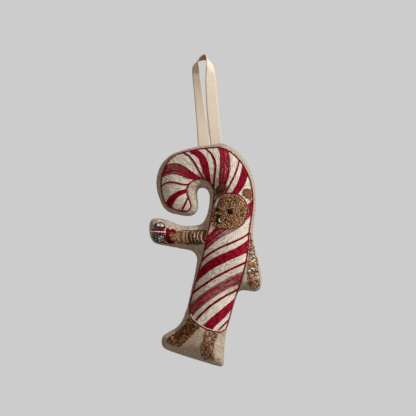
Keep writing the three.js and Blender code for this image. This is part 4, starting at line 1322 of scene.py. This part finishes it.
# A region in shares of a node's box, from its left and lower sides.
def shareBox(node, left, right, bottom, top):
    low, high = boxOf(node)
    cells = Plan.centres(np.ones(Plan.shape, bool)).reshape(*Plan.shape, 2)
    u, v = np.moveaxis((cells - low) / (high - low), -1, 0)
    return (u > left) & (u < right) & (v > bottom) & (v < top)


# A smooth line through points in shares of a node's box.
def boxLine(node, shares):
    low, high = boxOf(node)
    return smoothOpen(low + (high - low) * np.array(shares), 30)


# A cord along a node's outline, drawn in.
def innerCord(node, look, rng):
    loop = smoothClosed(outlineOf(node), look["step"])
    return cord([closed(offsetLoop(loop, -look["inside"]))], look, rng)


def buildLimbs():
    fur = {
        "spacing": 1.35 * mm, "radius": (0.7 * mm, 1.2 * mm), "turns": (0.35, 0.75), "margin": 0.35 * mm,
        "width": 0.85 * mm, "rise": 0.4 * mm, "lift": 0.1 * mm, "layers": 0.35 * mm, "tone": (0.45, 0.25),
    }
    edge = {"step": 1 * mm, "inside": 0.35 * mm, "width": 0.75 * mm, "rise": 0.36 * mm, "lift": 0.12 * mm,
            "stitch": 2.2 * mm, "tone": (0.4, 0.22)}
    loops = {"margin": 1 * mm, "spacing": 3.4 * mm, "width": 0.7 * mm, "tone": (0.6, 0.2), "lift": 0.3 * mm}
    fleck = {"margin": 1.2 * mm, "radius": (0.4 * mm, 0.8 * mm), "width": 0.6 * mm}
    paleGround = {"lift": 0.06 * mm, "tone": 0.42}
    wristShares = (0.35, 1.3, 0.2, 0.8)  # of the bow's box
    arcs = {"spacing": 1.6 * mm, "bow": 1.9 * mm, "first": 0.8 * mm, "towards": (-1, 0), "width": 1.2 * mm,
            "rise": 0.4 * mm, "lift": 0.2 * mm, "sides": 4, "tone": (0.47, 0.3)}
    paleArcs = {"spacing": 2.9 * mm, "width": 0.55 * mm, "rise": 0.35 * mm, "lift": 0.4 * mm, "tone": (0.34, 0.2)}
    limbs = {
        "front_arm": {
            "threads": ("walnutThread", "caramelThread"), "loops": {"spacing": 5.5 * mm},
            "curls": {"spacing": 3.4 * mm, "ground": 0.08 * mm, "groundTone": 0.4},
        },
        "rear_arm": {
            "threads": ("caramelThread", "chestnutThread"),
            "curls": {"spacing": 1.75 * mm, "radius": (0.8 * mm, 1.3 * mm)},
        },
        "left_leg": {
            "threads": ("chestnutThread", "chestnutThread"), "curls": {"ground": 0.08 * mm, "groundTone": 0.3},
            "flecks": {"spacing": 4.4 * mm, "tone": (0.04, 0.03), "lift": 0.35 * mm},
        },
        "right_leg": {
            "threads": ("caramelThread", "chestnutThread"), "curls": {"spacing": 1.4 * mm},
            "flecks": {"spacing": 3.4 * mm, "tone": (0.2, 0.1), "lift": 0.3 * mm},
        },
    }
    wrist = shareBox("parcel_bow", *wristShares) & ~footprint("parcel_bow")
    for order, (limb, own) in enumerate(limbs.items()):
        node = limb + "_fur"
        side, kind = limb.split("_")
        name = side + kind.title()
        rng = draws(10 + order)
        region = footprint(node)
        extra = [] if limb == "left_leg" else innerCord(node, edge, rng)
        if limb == "front_arm":
            extra.append(stitchMesh(crossArcs(region, arcs, rng), arcs, rng))
            pale = arcs | paleArcs
            part = stitchMesh(crossArcs(region, pale, rng)[1:-1], pale, rng)
            stitchPiece(side + "PaleArcs", [part], "creamThread")
        if "ground" not in own["curls"]:
            stitchPiece(side + "PaleGround", [groundCloth(node, **paleGround)], "creamThread")
        if "flecks" in own:
            marks = fur | fleck | own["flecks"]
            part = curls(Plan.grown(region, -marks["margin"]), marks, draws(50 + order))
            stitchPiece(side + "PaleFlecks", [part], "creamThread")
        main, second = own["threads"]
        curlPatch(name + "Curls", node, main, fur | own["curls"], 10 + order, extra)
        between = fur | loops | own.get("loops", {})
        parts = [curls(Plan.grown(region, -between["margin"]), between, rng)]
        if limb == "front_arm":
            parts.append(curls(wrist, fur | {"spacing": 1.3 * mm}, rng))
        stitchPiece(name + "Loops", parts, second)
    print("limbs", len(limbs))


def buildParcel():
    knots = {
        "spacing": 0.95 * mm, "radius": (0.28 * mm, 0.5 * mm), "turns": (0.5, 1.0), "margin": 0.2 * mm,
        "width": 0.42 * mm, "rise": 0.34 * mm, "lift": 0.3 * mm, "layers": 0.2 * mm, "tone": (0.45, 0.25),
        "ground": 0.25 * mm, "groundTone": 0.2,
    }
    patches = {
        "parcel_top": ("parcelTop", "creamThread", {"tone": (0.25, 0.2)}),
        "parcel_base": ("parcelBase", "greyThread", {"tone": (0.65, 0.25)}),
        "parcel_bow": (
            "parcelBow", "redThread",
            {"spacing": 0.8 * mm, "radius": (0.4 * mm, 0.7 * mm), "tone": (0.35, 0.2)},
        ),
    }
    ribbon = {"margin": 0.15 * mm, "lift": 0.3 * mm, "angle": 0.05}
    edge = {"step": 0.8 * mm, "inside": 0.2 * mm, "width": 0.85 * mm, "rise": 0.45 * mm, "lift": 0.35 * mm,
            "stitch": 1.8 * mm}
    marks = {"spacing": 0.9 * mm, "radius": (0.4 * mm, 0.8 * mm), "turns": (0.3, 0.7), "lift": 0.5 * mm,
             "width": 0.6 * mm}
    block = {"lift": 0.75 * mm, "angle": 0.05, "rise": 0.3 * mm, "tone": (0.85, 0.1)}
    flecks = {"margin": 0.8 * mm, "spacing": 1.9 * mm, "lift": 0.6 * mm, "tone": (0.8, 0.1)}
    stripe = {"width": 0.95 * mm, "rise": 0.35 * mm, "lift": 0.75 * mm, "stitch": 2.6 * mm, "tone": (0.85, 0.1)}
    tail = {"width": 0.6 * mm, "rise": 0.35 * mm, "lift": 0.3 * mm, "stitch": 2 * mm, "tone": (0.3, 0.1)}
    rng = draws(20)
    band = Plan.grown(footprint("parcel_band"), ribbon["margin"])
    stitchPiece("parcelBand", [satin(band, ribbon, rng)], "redThread", "parcel_band")
    for order, (node, (name, material, own)) in enumerate(patches.items()):
        curlPatch(name, node, material, knots | own, 21 + order)
    dark = {
        "parcel_top": shareBox("parcel_top", 0, 0.22, 0, 1) | shareBox("parcel_top", 0, 1, 0, 0.22),
        "parcel_base": shareBox("parcel_base", 0.05, 0.5, 0.35, 0.85),
    }
    for node, region in dark.items():
        parts = innerCord(node, edge, rng)
        parts.append(curls(region & footprint(node), knots | marks, rng))
        stitchPiece(patches[node][0] + "Lines", parts, "blackThread")
    bright = [(0.22, 0.52, 0.32, 0.58), (0.57, 0.9, 0.24, 0.5)]
    parts = [satin(shareBox("parcel_top", *shares), block, rng) for shares in bright]
    parts.append(curls(Plan.grown(footprint("parcel_base"), -flecks["margin"]), knots | flecks, rng))
    line = boxLine("parcel_band", [(-0.06, 0.48), (0.3, 0.46), (0.65, 0.38), (1.06, 0.3)])
    stitchPiece("parcelWhite", parts + cord([line], stripe, rng), "creamThread")
    line = boxLine("parcel_base", [(1.25, -0.12), (0.9, -0.1), (0.55, -0.02), (0.3, 0.08)])
    stitchPiece("parcelTail", cord([line], tail, rng), "redThread")
    print("parcel", len(patches))


buildLimbs()
buildParcel()


# The tape loop and the hand-sewn closing

# The turns are (share of the height, degrees) below the fold. The edges are shares of the tape's
# width and height from the hinge, from the foot of the right leg round to that of the left.
tape = {
    "width": 9.5 * mm,
    "height": 71 * mm,
    "thickness": 0.7 * mm,
    "tail": 6 * mm,
    "foldRise": 0.75 * mm,
    "turnBelow": 0.86,
    "leftTurn": [(0, 0), (0.15, -2), (0.3, 1), (0.52, 6), (0.7, 14), (0.86, 25)],
    "rightTurn": [(0, 0), (0.12, 3), (0.3, 6), (0.5, 6), (0.7, 10), (0.86, 17)],
    "stations": 170,
    "across": 12,
    # foldShade paints shade on faces that look down: gain, offset and the most.
    "foldShade": (1.6, -0.5, 0.85),  # by how far a face looks down, and the most
    "frontEdge": [
        (0.02, 0), (0.02, 0.05), (0.03, 0.16), (0.05, 0.28), (0.08, 0.4), (0.13, 0.5), (0.2, 0.61),
        (0.29, 0.72), (0.41, 0.815), (0.52, 0.885), (0.6, 0.945), (0.54, 1), (0.26, 0.995),
        (0.02, 0.972), (-0.12, 0.93), (-0.13, 0.875), (-0.11, 0.8), (-0.08, 0.7), (-0.08, 0.59),
        (-0.07, 0.49), (-0.06, 0.39), (-0.03, 0.28), (-0.02, 0.16), (-0.02, 0.05), (-0.02, 0),
    ],
    "backEdge": [
        (1.02, 0), (1.02, 0.05), (1.03, 0.15), (1.05, 0.27), (1.07, 0.39), (1.1, 0.49), (1.14, 0.6),
        (1.18, 0.7), (1.17, 0.79), (1.09, 0.865), (0.9, 0.918), (0.55, 0.944), (0.2, 0.947),
        (-0.1, 0.942), (-0.36, 0.928), (-0.62, 0.89), (-0.74, 0.82), (-0.77, 0.71), (-0.8, 0.6),
        (-0.84, 0.49), (-0.87, 0.39), (-0.9, 0.28), (-0.96, 0.165), (-1.02, 0.055), (-1.02, 0),
    ],
}


# The quads between rings of points, numbered ring by ring.
def ringQuads(ring):
    index = np.arange(ring.shape[0] * ring.shape[1]).reshape(ring.shape[:2])
    following = np.roll(index, -1, axis=1)
    return np.stack([index[:-1], index[1:], following[1:], following[:-1]], axis=-1).reshape(-1, 4)


# One strip: down into the seam, up one leg, over the top, down the other leg and in again.
def buildTape():
    joint = next(joint for joint in frame["joints"] if joint["name"] == "loop_fold")
    hinge = np.array(joint["pos_m"])
    across = np.array(joint["axis"]) / np.linalg.norm(joint["axis"])
    up = np.array([-across[2], 0, across[0]])
    edges = [[], []]
    for shares in zip(tape["frontEdge"], tape["backEdge"]):
        ends = [hinge + across * a * tape["width"] + up * b * tape["height"] for a, b in shares]
        aside, height = shares[0]
        wide = np.linalg.norm(ends[1] - ends[0])
        turned = math.sqrt(max(0, tape["width"] ** 2 - wide**2)) / 2
        if height < tape["turnBelow"]:
            heights, degrees = zip(*tape["leftTurn" if aside < 0 else "rightTurn"])
            turned = wide / 2 * math.tan(math.radians(np.interp(height, heights, degrees)))
        edges[0].append(ends[0] - [0, turned, 0])
        edges[1].append(ends[1] + [0, turned, 0])
    tail = up * (tape["tail"] + tape["foldRise"])
    front, back = (
        smoothOpen(np.vstack([e[0] - tail, e[0] - tail / 2, e, e[-1] - tail / 2, e[-1] - tail]), tape["stations"])
        for e in map(np.array, edges)
    )
    along = np.gradient((front + back) / 2, axis=0)
    out = unit(np.cross(along, back - front))
    share = np.linspace(0, 1, tape["across"] + 1)
    bevel = np.clip(np.minimum(share, 1 - share) * tape["across"], 0, 1) * 0.5 + 0.5
    sheet = front[:, None] + (back - front)[:, None] * share[None, :, None]
    half = out[:, None] * (bevel * tape["thickness"] / 2)[None, :, None]
    ring = np.concatenate([sheet + half, (sheet - half)[:, ::-1]], axis=1)
    size = ring.shape[1]
    faces = [ringQuads(ring)[:, [0, 3, 2, 1]]]
    k = np.arange(size // 2 - 1)
    cap = np.stack([k, size - 1 - k, size - 2 - k, k + 1], axis=1)
    faces += [cap, (cap + (len(ring) - 1) * size)[:, ::-1]]
    reach = lengths((front + back) / 2) / mm
    width = (np.concatenate([share, share[::-1]]) - 0.5) * tape["width"] / mm
    uv = paired(width[None, :], reach[:, None])
    # Painted shade: the more a face of the tape looks down, the darker the fold attribute makes it.
    gain, offset, most = tape["foldShade"]
    down = np.clip(np.stack([-out[:, 2], out[:, 2]], axis=1) * gain + offset, 0, most)
    fold = np.repeat(down, size // 2, axis=1)
    piece = meshPiece("hangingTape", ring.reshape(-1, 3), np.vstack(faces), "tapeCotton", uv, {"fold": fold})
    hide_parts("hanging_loop", "loop_end_left", "loop_end_right")
    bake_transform(piece)
    print("tape", round(float(reach[-1])), "mm long")


# Whip stitches over the seam where the turning gap is closed: a round thread in a zigzag.
def buildClosing():
    closing = {"pitch": 2.4 * mm, "radius": 0.15 * mm, "reach": 1.2 * mm, "inside": 0.65 * mm, "out": -0.2 * mm,
               "above": 3 * mm, "sides": 7}
    low, high = boxOf("closing_thread")
    base = rim[(rim[:, 0] > low[0]) & (rim[:, 0] < high[0]) & (rim[:, 1] < high[1] + closing["above"])]
    base = base[np.argsort(base[:, 0])]
    line = resample(base, 2 * round(lengths(base)[-1] / closing["pitch"]) + 1)
    along = (line[-1] - line[0]) / np.linalg.norm(line[-1] - line[0])
    out = np.array([along[1], -along[0]])
    turns = []
    for k, point in enumerate(line):
        inward = point - out * closing["inside"]
        over = point + out * closing["out"] + along * closing["pitch"] / 4
        turns += [[inward[0], (1 if k % 2 else -1) * closing["reach"], inward[1]], [over[0], 0, over[1]]]
    path = smoothOpen(np.array(turns[:-1]), 8 * len(turns))
    along = unit(np.gradient(path, axis=0))
    side = unit(np.cross(along, [0, 1, 0.001]))
    angle = np.linspace(0, 2 * math.pi, closing["sides"], endpoint=False)[None, :, None]
    ring = path[:, None] + closing["radius"] * (
        side[:, None] * np.cos(angle) + np.cross(side, along)[:, None] * np.sin(angle)
    )
    uv = paired((lengths(path) / mm)[:, None], np.linspace(0, 1, closing["sides"])[None, :])
    values = {"tone": np.full(ring.shape[:2], 0.5), "dive": np.zeros(ring.shape[:2])}
    piece = meshPiece("closingStitches", ring.reshape(-1, 3), ringQuads(ring), "sewingThread", uv, values)
    settle(piece, "sewing_thread", "closing_thread")
    print("closing", len(turns))


buildTape()
buildClosing()

# The seam's thread keeps its solid.
seam = nodes["seam_thread"].data
seam.materials.clear()
seam.materials.append(materials["sewingThread"])


# Stage, lights and camera

# The floor is paler to the camera than to the light that bounces from it.
def buildStage():
    floor = {"radius": 1.1, "below": 0.25, "colour": (0.62, 0.62, 0.61), "grain": 0.97, "cast": (0.34, 0.31, 0.28)}
    studio = {"seen": ((0.604, 0.604, 0.604, 1), 1.0), "cast": ((1.0, 0.87, 0.74, 1), 0.2)}
    bpy.ops.mesh.primitive_circle_add(
        vertices=128, radius=floor["radius"], fill_type="NGON", location=(0, 0, bodyLow[2] - floor["below"])
    )
    disc = bpy.context.object
    disc.name = "floor"
    tree = startMaterial("floorPaint", 0.95)
    grain = addNoise(tree, objectOf(tree), 90.0, 5.0).outputs[0]
    dark = tuple(floor["grain"] * part for part in floor["colour"])
    paint = ramp(tree, grain, [(0.3, dark), (0.7, floor["colour"])])
    ray = addNode(tree, "ShaderNodeLightPath").outputs["Is Camera Ray"]
    finishMaterial(tree, mixColour(tree, "MIX", ray, floor["cast"], paint))
    disc.data.materials.append(materials["floorPaint"])

    world = bpy.data.worlds.new("studio")
    bpy.context.scene.world = world
    world.use_nodes = True
    tree = world.node_tree
    tree.nodes.clear()
    ray = addNode(tree, "ShaderNodeLightPath").outputs["Is Camera Ray"]
    seen, cast = (
        addNode(tree, "ShaderNodeBackground", Color=colour, Strength=strength).outputs[0]
        for colour, strength in (studio["seen"], studio["cast"])
    )
    chosen = addNode(tree, "ShaderNodeMixShader", Fac=ray, i1=cast, i2=seen)
    addNode(tree, "ShaderNodeOutputWorld", Surface=chosen.outputs[0])


def addLights():
    lights = {
        "key": {"at": (1.25, -0.65, 0.6), "size": 0.45, "energy": 28, "color": (1.0, 0.985, 0.97)},
        "fill": {"at": (-0.6, -1.4, 0.55), "size": 1.0, "energy": 3.2, "color": (1.0, 0.93, 0.84)},
        "back": {"at": (-0.4, 1.3, 0.5), "size": 0.7, "energy": 14, "color": (1.0, 0.98, 0.95)},
    }
    target = Vector((0, 0, bodyLow[2] / 2))
    for name, look in lights.items():
        data = bpy.data.lights.new(name, "AREA")
        data.shape = "DISK"
        data.size, data.energy, data.color = look["size"], look["energy"], look["color"]
        light = addObject(name, data)
        light.location = look["at"]
        light.rotation_euler = (target - light.location).to_track_quat("-Z", "Y").to_euler()


# The camera sees what the photograph shows, at its size.
def buildCamera():
    photo = {"size": 416, "mmPerPixel": 0.8, "hookPixel": (205.62, 57.8), "distance": 1.7, "sensor": 36}
    scale = photo["mmPerPixel"] * mm
    x = (photo["size"] / 2 - photo["hookPixel"][0]) * scale
    z = (photo["hookPixel"][1] - photo["size"] / 2) * scale
    data = bpy.data.cameras.new("camera")
    data.sensor_width = photo["sensor"]
    data.lens = photo["sensor"] * photo["distance"] / (photo["size"] * scale)
    camera = addObject("camera", data)
    camera.location = (x, -photo["distance"], z)
    camera.rotation_euler = (math.pi / 2, 0, 0)
    bpy.context.scene.camera = camera


buildStage()
addLights()
buildCamera()
bpy.context.scene.view_settings.view_transform = "Standard"
bpy.context.scene.view_settings.look = "None"
print("stage, lights and camera")
